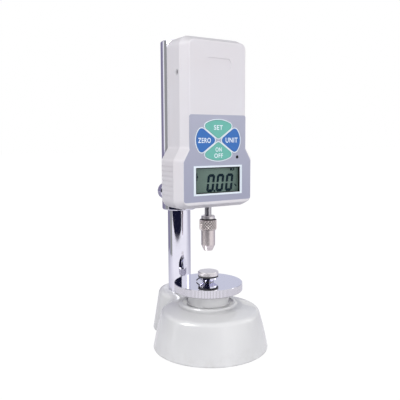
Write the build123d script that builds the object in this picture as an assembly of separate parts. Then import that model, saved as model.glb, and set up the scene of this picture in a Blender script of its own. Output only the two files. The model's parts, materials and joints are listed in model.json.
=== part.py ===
from build123d import *
import math
import os

# Grain hardness tester. Millimetres, +Z up.
# The drawing's own origin is the press axis at bench level, and the front faces -Y.
# The last section moves everything so that the footprint is centred on the origin.

# Clearances
running_gap = 0.05        # between a shaft and its bush, on the radius
bolt_gap = 0.05           # between a screw and its hole, on the radius
slip_gap = 0.2            # between parts that slide past each other loosely
seat_gap = 0.3            # between a stop and what comes to rest on it
stop_gap = 0.1            # under the spindle's stop
over = 1.0                # how far a cutter passes beyond what it cuts
far = 100.0               # half the size of the blocks that cut a whole side away
root = 0.5                # how deep a boss or shank reaches into what it grows from
hole_spare = 0.5          # how much deeper a blind hole is than its screw

# Base casting
foot_height = 1.0
foot_radius = 5.0
front_foot_x = 23.5
front_foot_y = -24.5
rear_foot_x = 13.5
rear_foot_behind_column = 9.6
bell_radius = 44.4
bell_bulge = 0.5
bell_shoulder_in = 7.1
bell_shoulder_drop = 3.2
bell_shoulder_round = 4.5
bell_forward = 3.0
bell_wall = 4.0
plateau_in = 19.4
neck_above_plateau = 10.6
roof_thickness = 3.5
neck_root = 3.0
step_radius = 21.3
step_rise = 1.7
step_round = 1.2
neck_radius = 16.0
neck_height = 43.6
neck_round = 0.8
neck_groove_radius = 0.6
bush_pocket_gap = 0.83
guide_boss_radius = 13.0
guide_boss_height = 7.6
lobe_bottom_radius = 22.8
lobe_top_radius = 16.4
lobe_front_below_plateau = 0.6
lobe_rear_above_plateau = 3.0
lobe_top_round = 4.0

# Base plate and its screws
plate_thickness = 1.5
plate_gap = 0.4
plate_screw_in = 4.9
plate_screw_angles = (195, 270, 345)
plate_boss_radius = 3.5
plate_boss_height = 14.0
plate_screw_radius = 1.45
plate_screw_length = 10.0
plate_screw_head_radius = 2.8

# Column
column_behind_press = 45.37
column_radius = 9.48
column_bore = 7.0
column_floor = 3.5
end_plug_length = 16.0
column_bolt_radius = 3.95
column_bolt_length = 14.0
column_bolt_head_radius = 6.5
column_bolt_head = 3.4
column_flange_radius = 7.5
column_flange = 0.8
column_key_radius = 3.4
column_key_depth = 2.0
column_recess_radius = 8.2
column_bolt_above_bench = 0.3

# Handwheel, its bush and its nut
wheel_radius = 26.57
wheel_thickness = 6.1
wheel_teeth = 150
wheel_tooth_depth = 0.22
wheel_edge = 0.45
hub_radius = 9.0
hub_length = 10.0
bush_radius = 12.0
bush_length = 7.0
bush_flange_radius = 15.0
bush_flange = 0.7
wheel_float = 0.13
ring_thickness = 0.8
ring_groove_depth = 0.8
ring_groove_gap = 0.1
ring_mouth = 1.5
ring_radius = 10.9
washer_thickness = 0.6
washer_radius = 11.6
nut_radius = 7.4
nut_depth_in_wheel = 1.6
nut_above_hub_end = 1.0

# Lift screw and anvil
screw_radius = 3.7
shank_radius = 4.0
shank_hole_gap = 0.3
spigot_radius = 3.0
lift_down = 0.25
stop_screw_clearance = 3.25
guide_slot_half_width = 1.2
guide_slot_floor = 2.6
guide_screw_radius = 1.5
guide_tip_radius = 1.0
guide_tip_length = 2.0
guide_key_radius = 0.8
guide_key_depth = 2.0
guide_above_boss_end = 0.2
guide_end_gap = 0.5
stop_flange_radius = 8.0
stop_flange = 1.0
stop_screw_radius = 1.45
stop_screw_length = 11.0
stop_screw_head_radius = 3.0
stop_screw_head = 2.5
stop_key_radius = 1.4
stop_key_depth = 1.4
anvil_rise = 8.37
anvil_radius = 8.0
anvil_thickness = 3.0
anvil_bevel = 0.5
anvil_seat_depth = 1.2
anvil_ring_radius = 7.8
anvil_ring = 1.3
anvil_collar_radius = 7.0
anvil_collar = 3.7
anvil_collar_rim = 1.6
cross_pin_radius = 0.45
cross_pin_height = 2.5
cross_pin_angle = 148.0
cross_pin_slope = 42.0
cross_pin_gap = 0.02
cross_pin_depth = 1.0
cross_pin_show = 3.0

# Chuck, from its nose upwards
daylight = 16.55
nose_length = 4.35
nose_radius = 3.33
shell_length = 11.65
shell_radius = 5.37
collar_length = 7.85
collar_radius = 6.74
collar_gap = 0.2
collar_bevel = 0.6
arbor_radius = 3.2
arbor_above_nose = 1.2
collet_radius = 2.5
collet_length = 10.0
collet_bore = 1.5
collet_slit = 0.4
collet_slit_length = 7.0
collet_slit_turns = (90, 210, 330)
collet_recess = 0.15
collet_end_gap = 0.3
spindle_nut_length = 2.9
spindle_nut_radius = 5.2
spindle_nut_bevel = 0.5

# Spindle
spindle_radius = 2.57
spindle_show = 6.9
spindle_in_arbor = 5.7
spindle_travel = 0.6
spindle_stop_radius = 3.6
spindle_stop = 1.2
spindle_bush_radius = 4.0
spindle_bush_flange_radius = 5.6
spindle_bush_flange = 1.2
spindle_bush_length = 8.5
spindle_in_cell = 2.2
cell_gap_above_stop = 1.5
spindle_end_gap = 0.2

# Gauge case, from its bottom upwards
case_height = 124.3
case_front = 14.3
case_depth = 29.5
case_wall = 2.2
case_parting = 19.3
case_lower_half_width = 33.0
case_upper_half_width = 27.5
flare_start = 36.0
flare_end = 45.0
case_bottom_round = 7.5
case_top_round = 7.5
flare_round = 5.0
front_bevel_in = 3.4
front_bevel_back = 8.9
front_bevel_round = 0.9
rear_round = 3.5
grip_count = 7
grip_first = 9.6
grip_pitch = 3.57
grip_height = 1.4
grip_depth = 0.45
grip_front = 9.4
grip_back = 26.5

# Thumb recess on the upper front
thumb_half_width = 11.1
thumb_below_top = 15.2
thumb_length = 8.0
thumb_depth = 0.5
thumb_round = 3.0

# Front overlay
overlay_thickness = 0.5
overlay_lower_half_width = 29.4
overlay_upper_half_width = 24.47
overlay_bottom = 5.6
overlay_flare_start = 34.75
overlay_flare_end = 43.5
overlay_top = 68.64
overlay_round = 1.6

# Display
display_half_width = 19.45
display_bottom = 11.5
display_top = 30.5
bezel_side = 1.79
bezel_edge = 1.35
bezel_proud = 0.2
lens_thickness = 1.0
lens_margin = 1.3
module_thickness = 2.8
module_margin = 2.6

# Keys
key_centre = 50.23
key_pad_half_width = 19.15
key_pad_half_height = 14.65
key_diagonal = 35.2
key_half_gap = 0.8
key_corner_round = 2.3
key_side_corner_round = 2.9
key_tip_round = 2.4
key_proud = 0.3
key_travel = 0.4
key_flange = 0.6
key_flange_rim = 0.45
key_flange_gap = 0.1
key_root = 0.1
surround_width = 0.65
surround_proud = 0.2
switch_reach = 11.5
switch_size = 5.0
switch_gap = 0.1

# Indicator
lamp_x = 16.9
lamp_z = 37.7
lamp_radius = 0.9
lamp_inset = 0.1

# Main board
board_gap = 0.2
board_thickness = 1.6
board_lower_half_width = 26.8
board_upper_half_width = 22.5
board_bottom = 6.0
board_step = 36.5
board_step_height = 4.0
board_top = 68.5
board_post_radius = 1.8
board_screw_radius = 0.95
board_screw_head_radius = 1.7
board_screw_head = 1.2
board_screw_grip = 2.5
board_lower_post_x = 25.2
board_lower_post_z = 29.5
board_upper_post_x = 19.5
board_upper_post_below_top = 2.7

# Load cell and chassis
cell_half_width = 6.5
cell_half_depth = 6.0
cell_length = 50.0
cell_slot_half_width = 3.0
cell_slot_half_length = 12.0
cell_slot_round = 2.7
cell_pad = 0.5
cell_pad_length = 16.0
cell_screw_radius = 1.95
cell_screw_head_radius = 3.4
cell_screw_head = 2.4
cell_screw_length = 9.0
cell_screw_from_top = (4.0, 12.0)
chassis_thickness = 1.5
chassis_half_width = 20.0
chassis_bottom = 8.5
chassis_top = 68.5
chassis_screw_x = 16.0
chassis_screw_in = 6.0
chassis_boss_radius = 3.2
chassis_screw_radius = 1.25
chassis_screw_head_radius = 2.6
chassis_screw_head = 1.4

# Battery pack and charging socket
battery_left = -15.0
battery_right = 17.5
battery_front = 10.0
battery_bottom = 71.5
battery_headroom = 8.8
battery_gap = 0.2
battery_round = 4.0
socket_behind_front = 12.1
socket_below_top = 25.5
socket_bore = 1.25
socket_barrel_radius = 2.4
socket_depth = 6.0
socket_body_length = 8.0
socket_body_half = 3.0
socket_inset = 0.1

# Case screws, at the rear
case_lower_screw_x = 27.0
case_lower_screw_z = 10.5
case_upper_screw_x = 21.5
case_upper_screw_below_top = 10.3
case_screw_radius = 1.45
case_screw_head_radius = 2.5
case_screw_head = 1.8
case_screw_boss_radius = 3.0
case_screw_grip = 6.0
case_screw_inset = 0.2
cross_half_length = 1.6
cross_half_width = 0.4
cross_depth = 1.0

# Sleeve and what joins it to the gauge
sleeve_radius = 14.0
sleeve_bore = 11.5
sleeve_below_case = 6.8
sleeve_above_case = 5.0
sleeve_edge = 0.6
sleeve_lip = 0.8
sleeve_cap_thickness = 3.2
sleeve_cap_inset = 0.6
liner_gap = 0.04
lower_liner_start = 1.0
lower_liner_length = 8.5
upper_liner_start = 47.3
upper_liner_length = 20.0
mount_plate_half_width = 14.0
mount_plate_thickness = 3.0
mount_plate_bottom = 12.5
mount_plate_below_top = 19.8
gauge_screw_x = 9.0
gauge_screw_in = 8.0
gauge_screw_radius = 1.95
gauge_screw_head_radius = 3.5
gauge_screw_head = 2.5
gauge_boss_radius = 4.0
gauge_screw_grip = 4.5
saddle_half_width = 9.0
saddle_height = 18.0
saddle_in = (25.0, 23.0)
saddle_screw_x = 5.5
saddle_screw_radius = 1.95
saddle_screw_head_radius = 3.2
saddle_screw_head = 1.6
saddle_screw_length = 8.0
sleeve_screw_length = 8.0
sleeve_screw_head_radius = 3.2
sleeve_screw_head = 1.6

# Lock knob
lock_z = 6.5
lock_boss_radius = 6.0
lock_boss_reach = 4.6
lock_screw_radius = 3.0
lock_knob_radius = 7.25
lock_knob_length = 6.7
lock_knob_teeth = 36
lock_knob_tooth_depth = 0.3
lock_knob_edge = 1.6
lock_hole_gap = 0.1
lock_pad_gap = 0.2
lock_pad_length = 2.9

# Sizes that follow from others
bell_shoulder_radius = bell_radius - bell_shoulder_in
plateau_radius = bell_radius - plateau_in
plateau_height = neck_height - neck_above_plateau
bell_shoulder_height = plateau_height - bell_shoulder_drop
step_height = plateau_height + step_rise
lobe_front_height = plateau_height - lobe_front_below_plateau
lobe_rear_height = plateau_height + lobe_rear_above_plateau
plate_screw_circle = bell_radius - bell_wall - plate_screw_in
thumb_top = case_height - thumb_below_top
board_upper_post_z = board_top - board_upper_post_below_top
chassis_screw_z = (chassis_bottom + chassis_screw_in, chassis_top - chassis_screw_in)
battery_height = case_height - battery_bottom - battery_headroom
socket_z = case_height - socket_below_top
case_upper_screw_z = case_height - case_upper_screw_below_top
mount_plate_top = case_height - mount_plate_below_top
gauge_screw_z = (mount_plate_bottom + gauge_screw_in, mount_plate_top - gauge_screw_in)
saddle_z = (mount_plate_bottom + saddle_in[0], mount_plate_top - saddle_in[1])

# Heights worked out from the stack on the press axis
rim_z = foot_height
wheel_bottom = neck_height + bush_flange + wheel_float
wheel_top = wheel_bottom + wheel_thickness
hub_bottom = wheel_bottom - hub_length
nut_top = wheel_bottom + nut_depth_in_wheel
shank_bottom = nut_top + lift_down + seat_gap
bush_pocket_floor = hub_bottom - bush_pocket_gap
guide_boss_bottom = bush_pocket_floor - guide_boss_height
stop_screw_low = rim_z + plate_thickness + lift_down + stop_screw_clearance
screw_bottom = stop_screw_low + stop_screw_head + stop_flange
lift_up = guide_boss_bottom - guide_end_gap - screw_bottom
anvil_top = wheel_top + anvil_rise
anvil_collar_z = anvil_top - anvil_thickness - anvil_ring - anvil_collar
nose_z = anvil_top + daylight
shell_z = nose_z + nose_length
collar_z = shell_z + shell_length + collar_gap
collar_top = collar_z + collar_length
spindle_nut_z = collar_top + collar_gap
spindle_nut_top = spindle_nut_z + spindle_nut_length
case_z = spindle_nut_top + spindle_show
case_top = case_z + case_height
sleeve_z = case_z - sleeve_below_case
sleeve_top = case_top + sleeve_above_case
column_head_z = foot_height + column_bolt_above_bench
column_seat = column_head_z + column_bolt_head + column_flange + column_floor

# Depths of the gauge, measured along Y
front_y = -case_front
back_y = front_y + case_depth
inner_front_y = front_y + case_wall
inner_back_y = back_y - case_wall
parting_y = front_y + case_parting
overlay_back_y = front_y + overlay_thickness
module_back_y = inner_front_y + module_thickness
board_front_y = module_back_y + board_gap
board_back_y = board_front_y + board_thickness
chassis_front_y = cell_half_depth + cell_pad
chassis_back_y = chassis_front_y + chassis_thickness
column_y = column_behind_press
sleeve_rear_y = column_y + sleeve_radius
lock_boss_end_y = sleeve_rear_y + lock_boss_reach
lock_knob_y = lock_boss_end_y + seat_gap
knob_end_y = lock_knob_y + lock_knob_length
bevel_y = front_y + front_bevel_back
wall_inner_y = column_y - sleeve_bore

nodes = {}
countersunk_screws = []


# Helpers for plain forms

def post(radius, low, high, x=0, y=0):
    """A round post that stands between two heights."""
    return Pos(x, y, (low + high) / 2) * Cylinder(radius, high - low)


def tube(outer, inner, low, high, x=0, y=0):
    """A standing tube."""
    return post(outer, low, high, x, y) - post(inner, low - over, high + over, x, y)


def rod(radius, front, back, x, z):
    """A round rod along Y."""
    return Pos(x, (front + back) / 2, z) * Rot(90, 0, 0) * Cylinder(radius, back - front)


def cross_rod(radius, left, right, y, z):
    """A round rod along X."""
    return Pos((left + right) / 2, y, z) * Rot(0, 90, 0) * Cylinder(radius, right - left)


def taper(low_radius, high_radius, low, high, x=0, y=0):
    """A standing cone cut off at both ends."""
    return Pos(x, y, (low + high) / 2) * Cone(low_radius, high_radius, high - low)


def rod_taper(front_radius, back_radius, front, back, x, z):
    """A cone along Y, cut off at both ends."""
    return Pos(x, (front + back) / 2, z) * Rot(90, 0, 0) * Cone(back_radius, front_radius, back - front)


def block(left, right, front, back, low, high):
    """A box between six planes."""
    centre = Pos((left + right) / 2, (front + back) / 2, (low + high) / 2)
    return centre * Box(right - left, back - front, high - low)


def facing(y):
    """The upright plane at one depth, seen from the front."""
    return Plane(origin=(0, y, 0), x_dir=(1, 0, 0), z_dir=(0, -1, 0))


def sheet(outline, front, back):
    """An outline drawn in X and Z, made solid between two depths."""
    return extrude(facing(back) * outline, amount=back - front)


def stepped_outline(lower, upper, low, step_low, step_high, high):
    """The outline that the case, overlay and board share: wide below, narrow above."""
    right = [(lower, low), (lower, step_low), (upper, step_high), (upper, high)]
    left = [(-x, z) for x, z in reversed(right)]
    return Polygon(*right, *left, align=None)


def corners(outline, low, high):
    """The outline's corners between two heights."""
    return [corner for corner in outline.vertices() if low < corner.Y < high]


def fused(solids):
    """One solid from several that overlap."""
    result = solids[0]
    for solid in solids[1:]:
        result = result + solid
    return result


def group(pieces):
    """Separate solids that share one node."""
    return Compound([solid for piece in pieces for solid in piece.solids()])


def toothed_disc(radius, depth, teeth):
    """The outline of a rim with straight serrations."""
    points = []
    for step in range(2 * teeth):
        angle = math.pi * step / teeth
        reach = radius - depth * (step % 2)
        points.append((reach * math.cos(angle), reach * math.sin(angle)))
    return Polygon(*points, align=None)


# Base casting, a bell with a neck for the handwheel and a lobe for the column

def bell(radius_cut, height_cut):
    """The bell's form, drawn in by a wall for its hollow."""
    foot = bell_radius - radius_cut
    shoulder = bell_shoulder_radius - radius_cut
    shoulder_z = bell_shoulder_height - height_cut
    top = plateau_height - height_cut
    middle = ((foot + shoulder) / 2 + bell_bulge, (rim_z + shoulder_z) / 2)
    wall = ThreePointArc((foot, rim_z), middle, (shoulder, shoulder_z))
    rest = Polyline((shoulder, shoulder_z), (plateau_radius, top), (0, top), (0, rim_z), (foot, rim_z))
    profile = Plane.XZ * make_face([wall, rest])
    turned = revolve(profile, Axis.Z)
    return Pos(0, -bell_forward, 0) * turned


def lobe():
    """The column's lobe, with a top that rises towards the rear."""
    cone = taper(lobe_bottom_radius, lobe_top_radius, rim_z, lobe_rear_height + lobe_top_round, 0, column_y)
    rise = lobe_rear_height - lobe_front_height
    run = column_radius + lobe_top_radius
    slope = math.degrees(math.atan2(rise, run))
    lid = Pos(0, column_y - column_radius, lobe_front_height) * Rot(slope, 0, 0) * Pos(0, 0, far)
    lid = lid * Box(2 * far, 2 * far, 2 * far)
    body = cone - lid
    top_edge = body.edges().sort_by(Axis.Z)[-1]
    return fillet([top_edge], lobe_top_round)


def base_casting():
    outside = bell(0, 0)
    shoulder = [edge for edge in outside.edges() if abs(edge.center().Z - bell_shoulder_height) < root]
    outside = fillet(shoulder, bell_shoulder_round)
    step = post(step_radius, plateau_height - neck_root, step_height)
    step = fillet(step.edges().group_by(Axis.Z)[-1], step_round)
    neck = post(neck_radius, plateau_height - neck_root, neck_height)
    neck = fillet(neck.edges().group_by(Axis.Z)[-1], neck_round)
    groove = Pos(0, 0, step_height) * Torus(neck_radius + neck_groove_radius, neck_groove_radius)
    body = outside + lobe() + step + neck - groove

    hollow = bell(bell_wall, roof_thickness) - lobe()
    hollow = hollow - post(guide_boss_radius, guide_boss_bottom, neck_height)
    for angle in plate_screw_angles:
        x, y = plate_screw_place(angle)
        hollow = hollow - post(plate_boss_radius, rim_z + plate_thickness, plate_boss_height, x, y)
    body = body - hollow

    body = body - post(bush_radius, bush_pocket_floor, neck_height + over)
    body = body - post(screw_radius + running_gap, guide_boss_bottom - over, bush_pocket_floor + over)
    body = body - guide_screw_hole()
    body = body - post(column_radius, column_seat, lobe_rear_height + over, 0, column_y)
    body = body - post(column_bolt_radius + slip_gap, rim_z - over, column_seat + over, 0, column_y)
    body = body - post(column_recess_radius, rim_z - over, column_seat - column_floor, 0, column_y)
    for angle in plate_screw_angles:
        x, y = plate_screw_place(angle)
        hole_top = rim_z + plate_screw_length + hole_spare
        body = body - post(plate_screw_radius + bolt_gap, rim_z, hole_top, x, y)
    nodes["base_casting"] = body


def plate_screw_place(angle):
    """Where one base plate screw stands."""
    turn = math.radians(angle)
    return plate_screw_circle * math.cos(turn), plate_screw_circle * math.sin(turn) - bell_forward


def base_plate():
    body = post(bell_radius - bell_wall - plate_gap, rim_z, rim_z + plate_thickness, 0, -bell_forward)
    room = lobe_bottom_radius + plate_gap
    body = body - post(room, rim_z - over, rim_z + plate_thickness + over, 0, column_y)
    screws = []
    for angle in plate_screw_angles:
        x, y = plate_screw_place(angle)
        head_top = rim_z + plate_thickness
        body = body - taper(plate_screw_head_radius, plate_screw_radius + bolt_gap, rim_z, head_top, x, y)
        head = taper(plate_screw_head_radius - bolt_gap, plate_screw_radius, rim_z, head_top, x, y)
        shank = post(plate_screw_radius, rim_z + root, rim_z + plate_screw_length, x, y)
        screws.append(head + shank)
    nodes["base_plate"] = body
    nodes["base_plate_screws"] = group(screws)


def feet():
    rear_y = column_y + rear_foot_behind_column
    places = [(front_foot_x, front_foot_y), (rear_foot_x, rear_y)]
    nodes["rubber_feet"] = group([post(foot_radius, 0, foot_height, side * x, y)
                                  for side in (-1, 1) for x, y in places])


# Column, bolted up into the lobe from below

def column():
    nodes["column"] = tube(column_radius, column_bore, column_seat, column_top(), 0, column_y)

    plug = post(column_bore, column_seat, column_seat + end_plug_length, 0, column_y)
    thread_top = column_seat + column_bolt_length - column_floor
    recess_top = column_seat - column_floor
    thread = post(column_bolt_radius + bolt_gap, column_seat - over, thread_top, 0, column_y)
    nodes["column_end_plug"] = plug - thread

    bolt = post(column_flange_radius, recess_top - column_flange, recess_top, 0, column_y)
    bolt = bolt + post(column_bolt_head_radius, column_head_z, recess_top, 0, column_y)
    bolt = bolt + post(column_bolt_radius, column_head_z, thread_top - hole_spare, 0, column_y)
    key = extrude(RegularPolygon(column_key_radius, 6), amount=column_key_depth)
    key = Pos(0, column_y, column_head_z) * key
    nodes["column_bolt"] = bolt - key


def column_top():
    """The height at which the sleeve's cap would rest on the column."""
    return sleeve_top - sleeve_cap_inset - sleeve_cap_thickness - seat_gap


# Handwheel, a captive nut on top of the neck

def handwheel():
    disc = Pos(0, 0, wheel_bottom) * extrude(
        toothed_disc(wheel_radius, wheel_tooth_depth, wheel_teeth), amount=wheel_thickness)
    edge = wheel_edge + over
    trim = taper(wheel_radius - wheel_edge, wheel_radius + over, wheel_bottom, wheel_bottom + edge)
    trim = trim + post(wheel_radius + over, wheel_bottom + edge, wheel_top - edge)
    trim = trim + taper(wheel_radius + over, wheel_radius - wheel_edge, wheel_top - edge, wheel_top)
    body = disc & trim
    body = body + post(hub_radius, hub_bottom, wheel_bottom + over)
    body = body - post(nut_radius, hub_bottom - over, nut_top)
    body = body - post(shank_radius + shank_hole_gap, nut_top - over, wheel_top + over)
    groove_low = wheel_ring_low()
    groove_high = groove_low + ring_thickness + ring_groove_gap
    groove = tube(hub_radius + over, hub_radius - ring_groove_depth, groove_low, groove_high)
    nodes["handwheel"] = body - groove

    nut_low = hub_bottom + nut_above_hub_end
    nodes["lift_nut"] = tube(nut_radius, screw_radius + running_gap, nut_low, nut_top)

    inner = hub_radius - ring_groove_depth + ring_groove_gap / 2
    ring_low = groove_low + ring_groove_gap / 2
    ring = tube(ring_radius, inner, ring_low, ring_low + ring_thickness)
    mouth = block(-ring_mouth, ring_mouth, -ring_radius - over, 0, groove_low - over, groove_high + over)
    nodes["wheel_retaining_ring"] = ring - mouth

    bush_low = neck_height - bush_length
    washer = tube(washer_radius, hub_radius + slip_gap, bush_low - washer_thickness, bush_low)
    nodes["wheel_thrust_washer"] = washer
    bush = post(bush_radius, bush_low, neck_height)
    bush = bush + post(bush_flange_radius, neck_height, neck_height + bush_flange)
    bush_high = neck_height + bush_flange
    nodes["wheel_bush"] = bush - post(hub_radius + running_gap, bush_low - over, bush_high + over)


def wheel_ring_low():
    """The lower side of the retaining ring's groove."""
    return neck_height - bush_length - washer_thickness - ring_groove_gap - ring_thickness


# Lift screw and anvil, which rise and fall as the wheel turns

def guide_height():
    """The height of the guide screw's axis."""
    return guide_boss_bottom + guide_screw_radius + guide_above_boss_end


def guide_screw_hole():
    """The hole through the boss for the guide screw."""
    radius = guide_screw_radius + bolt_gap
    return cross_rod(radius, screw_radius - over, guide_boss_radius + over, 0, guide_height())


def lift_screw():
    collar_low = anvil_collar_z
    spigot_top = anvil_top - anvil_thickness + anvil_seat_depth
    body = post(screw_radius, screw_bottom, shank_bottom)
    body = body + post(shank_radius, shank_bottom, collar_low)
    body = body + post(spigot_radius, collar_low, spigot_top)
    guide = guide_height()
    slot_low = guide - lift_up - guide_tip_radius - guide_end_gap
    slot_high = guide + lift_down + guide_tip_radius + guide_end_gap
    half = guide_slot_half_width
    body = body - block(guide_slot_floor, screw_radius + over, -half, half, slot_low, slot_high)
    hole_top = screw_bottom + stop_screw_length - stop_flange + hole_spare
    body = body - post(stop_screw_radius + bolt_gap, screw_bottom - over, hole_top)
    nodes["lift_screw"] = body

    tip_end = guide_slot_floor + guide_tip_length
    tip = cross_rod(guide_tip_radius, guide_slot_floor + slip_gap, tip_end + over, 0, guide)
    outer = guide_boss_radius - guide_end_gap
    thread = cross_rod(guide_screw_radius, tip_end, outer, 0, guide)
    key = cross_rod(guide_key_radius, outer - guide_key_depth, outer + over, 0, guide)
    nodes["guide_screw"] = tip + thread - key

    flange_low = screw_bottom - stop_flange
    head_low = flange_low - stop_screw_head
    screw = post(stop_flange_radius, flange_low, screw_bottom)
    screw = screw + post(stop_screw_head_radius, head_low, screw_bottom)
    screw = screw + post(stop_screw_radius, head_low, flange_low + stop_screw_length)
    key = Pos(0, 0, head_low) * extrude(RegularPolygon(stop_key_radius, 6), amount=stop_key_depth)
    nodes["stop_screw"] = screw - key

    cone_top = collar_low + anvil_collar - anvil_collar_rim
    collar = taper(shank_radius, anvil_collar_radius, collar_low, cone_top)
    collar = collar + post(anvil_collar_radius, cone_top, collar_low + anvil_collar)
    collar = collar - post(spigot_radius, collar_low - over, anvil_top)
    nodes["anvil_collar"] = collar - cross_pin(cross_pin_gap)

    ring_low = collar_low + anvil_collar
    ring = tube(anvil_ring_radius, spigot_radius, ring_low, ring_low + anvil_ring)
    nodes["anvil_ring"] = ring

    cap_low = anvil_top - anvil_thickness
    cap = post(anvil_radius, cap_low, anvil_top)
    cap = chamfer(cap.edges().group_by(Axis.Z)[-1], anvil_bevel)
    nodes["anvil_cap"] = cap - post(spigot_radius, cap_low - over, spigot_top)
    nodes["anvil_cross_pin"] = cross_pin(0)


def cross_pin(gap):
    """The short slanting pin in the collar's rim, or its hole when a gap is given."""
    pin = cross_rod(cross_pin_radius + gap, -cross_pin_depth - gap, cross_pin_show + gap, 0, 0)
    exit_place = Pos(anvil_collar_radius, 0, anvil_collar_z + cross_pin_height)
    return Rot(0, 0, cross_pin_angle) * exit_place * Rot(0, cross_pin_slope, 0) * pin


# Chuck and spindle

def chuck():
    nose = taper(nose_radius, shell_radius, nose_z, shell_z)
    shell_top = shell_z + shell_length
    shell = nose + post(shell_radius, shell_z, shell_top)
    shell = shell - post(arbor_radius, shell_z + arbor_above_nose, shell_top + over)
    shell = shell - post(collet_radius, nose_z - over, shell_z + arbor_above_nose + over)
    nodes["chuck_shell"] = shell

    collet_low = nose_z + collet_recess
    arbor_low = shell_z + arbor_above_nose
    spindle_low = spindle_nut_z - spindle_in_arbor
    arbor = post(arbor_radius, arbor_low, spindle_nut_z)
    arbor = arbor - post(collet_radius, arbor_low - over, collet_low + collet_length + collet_end_gap)
    arbor = arbor - post(spindle_radius, spindle_low, spindle_nut_z + over)
    nodes["chuck_arbor"] = arbor

    collet = post(collet_radius, collet_low, collet_low + collet_length)
    collet = collet - post(collet_bore, collet_low - over, collet_low + collet_length + over)
    slit_top = collet_low + collet_slit_length
    for turn in collet_slit_turns:
        slit = block(0, collet_radius + over, -collet_slit / 2, collet_slit / 2, collet_low - over, slit_top)
        collet = collet - Rot(0, 0, turn) * slit
    nodes["collet"] = collet

    collar = post(collar_radius, collar_z, collar_top)
    collar = chamfer(collar.edges().group_by(Axis.Z)[0] + collar.edges().group_by(Axis.Z)[-1], collar_bevel)
    nodes["chuck_collar"] = collar - post(arbor_radius + running_gap, collar_z - over, collar_top + over)

    nut = post(spindle_nut_radius, spindle_nut_z, spindle_nut_top)
    nut = chamfer(nut.edges().group_by(Axis.Z)[0] + nut.edges().group_by(Axis.Z)[-1], spindle_nut_bevel)
    nodes["spindle_nut"] = nut - post(spindle_radius, spindle_nut_z - over, spindle_nut_top + over)


def bush_top():
    """The top of the spindle bush, on which the spindle's stop rests."""
    return case_z + spindle_bush_length


def cell_bottom():
    """The load cell's lower end."""
    return bush_top() + spindle_stop + cell_gap_above_stop


def spindle():
    low = spindle_nut_z - spindle_in_arbor
    shaft = post(spindle_radius, low, cell_bottom() + spindle_in_cell)
    stop_low = bush_top() + stop_gap
    nodes["spindle"] = shaft + post(spindle_stop_radius, stop_low, stop_low + spindle_stop)
    floor = case_z + case_wall
    bush = post(spindle_bush_radius, case_z, bush_top())
    bush = bush + post(spindle_bush_flange_radius, floor, floor + spindle_bush_flange)
    nodes["spindle_bush"] = bush - post(spindle_radius + running_gap, case_z - over, bush_top() + over)


# Gauge case

def case_outline(inset):
    """The case's outline, drawn in by a wall."""
    outline = stepped_outline(
        case_lower_half_width - inset, case_upper_half_width - inset, case_z + inset,
        case_z + flare_start, case_z + flare_end, case_top - inset)
    outline = fillet(corners(outline, case_z + flare_start - 1, case_z + flare_end + 1), flare_round)
    outline = fillet(corners(outline, case_z - 1, case_z + inset + 0.5), case_bottom_round - inset)
    return fillet(corners(outline, case_top - inset - 0.5, case_top + 1), case_top_round - inset)


def case_form():
    """The whole case as one lump, before it is hollowed and split."""
    face = case_outline(0)
    lump = sheet(face, bevel_y, back_y)
    lump = fillet(lump.edges().group_by(Axis.Y)[-1], rear_round)
    nosing = loft([facing(bevel_y) * face, facing(front_y) * case_outline(front_bevel_in)])
    nosing = fillet(nosing.edges().group_by(Axis.Y)[0], front_bevel_round)
    return lump + nosing


def overlay_outline():
    """The outline of the front overlay."""
    outline = stepped_outline(
        overlay_lower_half_width, overlay_upper_half_width, case_z + overlay_bottom,
        case_z + overlay_flare_start, case_z + overlay_flare_end, case_z + overlay_top)
    outline = fillet(corners(outline, case_z, case_z + overlay_bottom + 1), overlay_round)
    return fillet(corners(outline, case_z + overlay_top - 1, case_top), overlay_round)


def petal(upright, grow):
    """One key's outline: a slice of the oval pad, with round corners."""
    slope = math.tan(math.radians(key_diagonal))
    if not upright:
        slope = 1 / slope
    along = key_pad_half_height if upright else key_pad_half_width
    across = key_pad_half_width if upright else key_pad_half_height
    tip = key_half_gap * math.sqrt(1 + slope * slope)
    # The slice's side is along = tip + slope * side. It ends where it meets the oval.
    a = (slope / along) ** 2 + 1 / across ** 2
    b = 2 * slope * tip / along ** 2
    c = (tip / along) ** 2 - 1
    side = (-b + math.sqrt(b * b - 4 * a * c)) / (2 * a)
    end = tip + slope * side
    rim = ThreePointArc((-side, end), (0, along), (side, end))
    sides = Polyline((side, end), (0, tip), (-side, end))
    outline = make_face([rim, sides])
    low_corner = outline.vertices().sort_by(Axis.Y)[0]
    outline = fillet([low_corner], key_tip_round)
    rim_corners = outline.vertices().sort_by(Axis.X)
    corner_round = key_corner_round if upright else key_side_corner_round
    outline = fillet([rim_corners[0], rim_corners[-1]], corner_round)
    if grow:
        outline = offset(outline, amount=grow)
    return outline


def key_places():
    """The four keys: their name, whether the slice is of the tall kind, and its turn."""
    return (
        ("key_set", True, 0),
        ("key_power", True, 180),
        ("key_zero", False, 90),
        ("key_unit", False, -90),
    )


def key_outlines(grow):
    """The four outlines in their places."""
    centre = Pos(0, case_z + key_centre)
    return [centre * Rot(0, 0, turn) * petal(upright, grow) for name, upright, turn in key_places()]


def display_outline(side, edge):
    """The display's rectangle, grown at its sides and at its top and bottom."""
    low = case_z + display_bottom - edge
    high = case_z + display_top + edge
    half = display_half_width + side
    return Polygon((-half, low), (half, low), (half, high), (-half, high), align=None)


def board_posts():
    """Where the board's four posts stand."""
    low = case_z + board_lower_post_z
    high = case_z + board_upper_post_z
    return [(-board_lower_post_x, low), (board_lower_post_x, low),
            (-board_upper_post_x, high), (board_upper_post_x, high)]


def chassis_places():
    """Where the chassis screws stand."""
    return [(x, case_z + z) for x in (-chassis_screw_x, chassis_screw_x) for z in chassis_screw_z]


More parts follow.
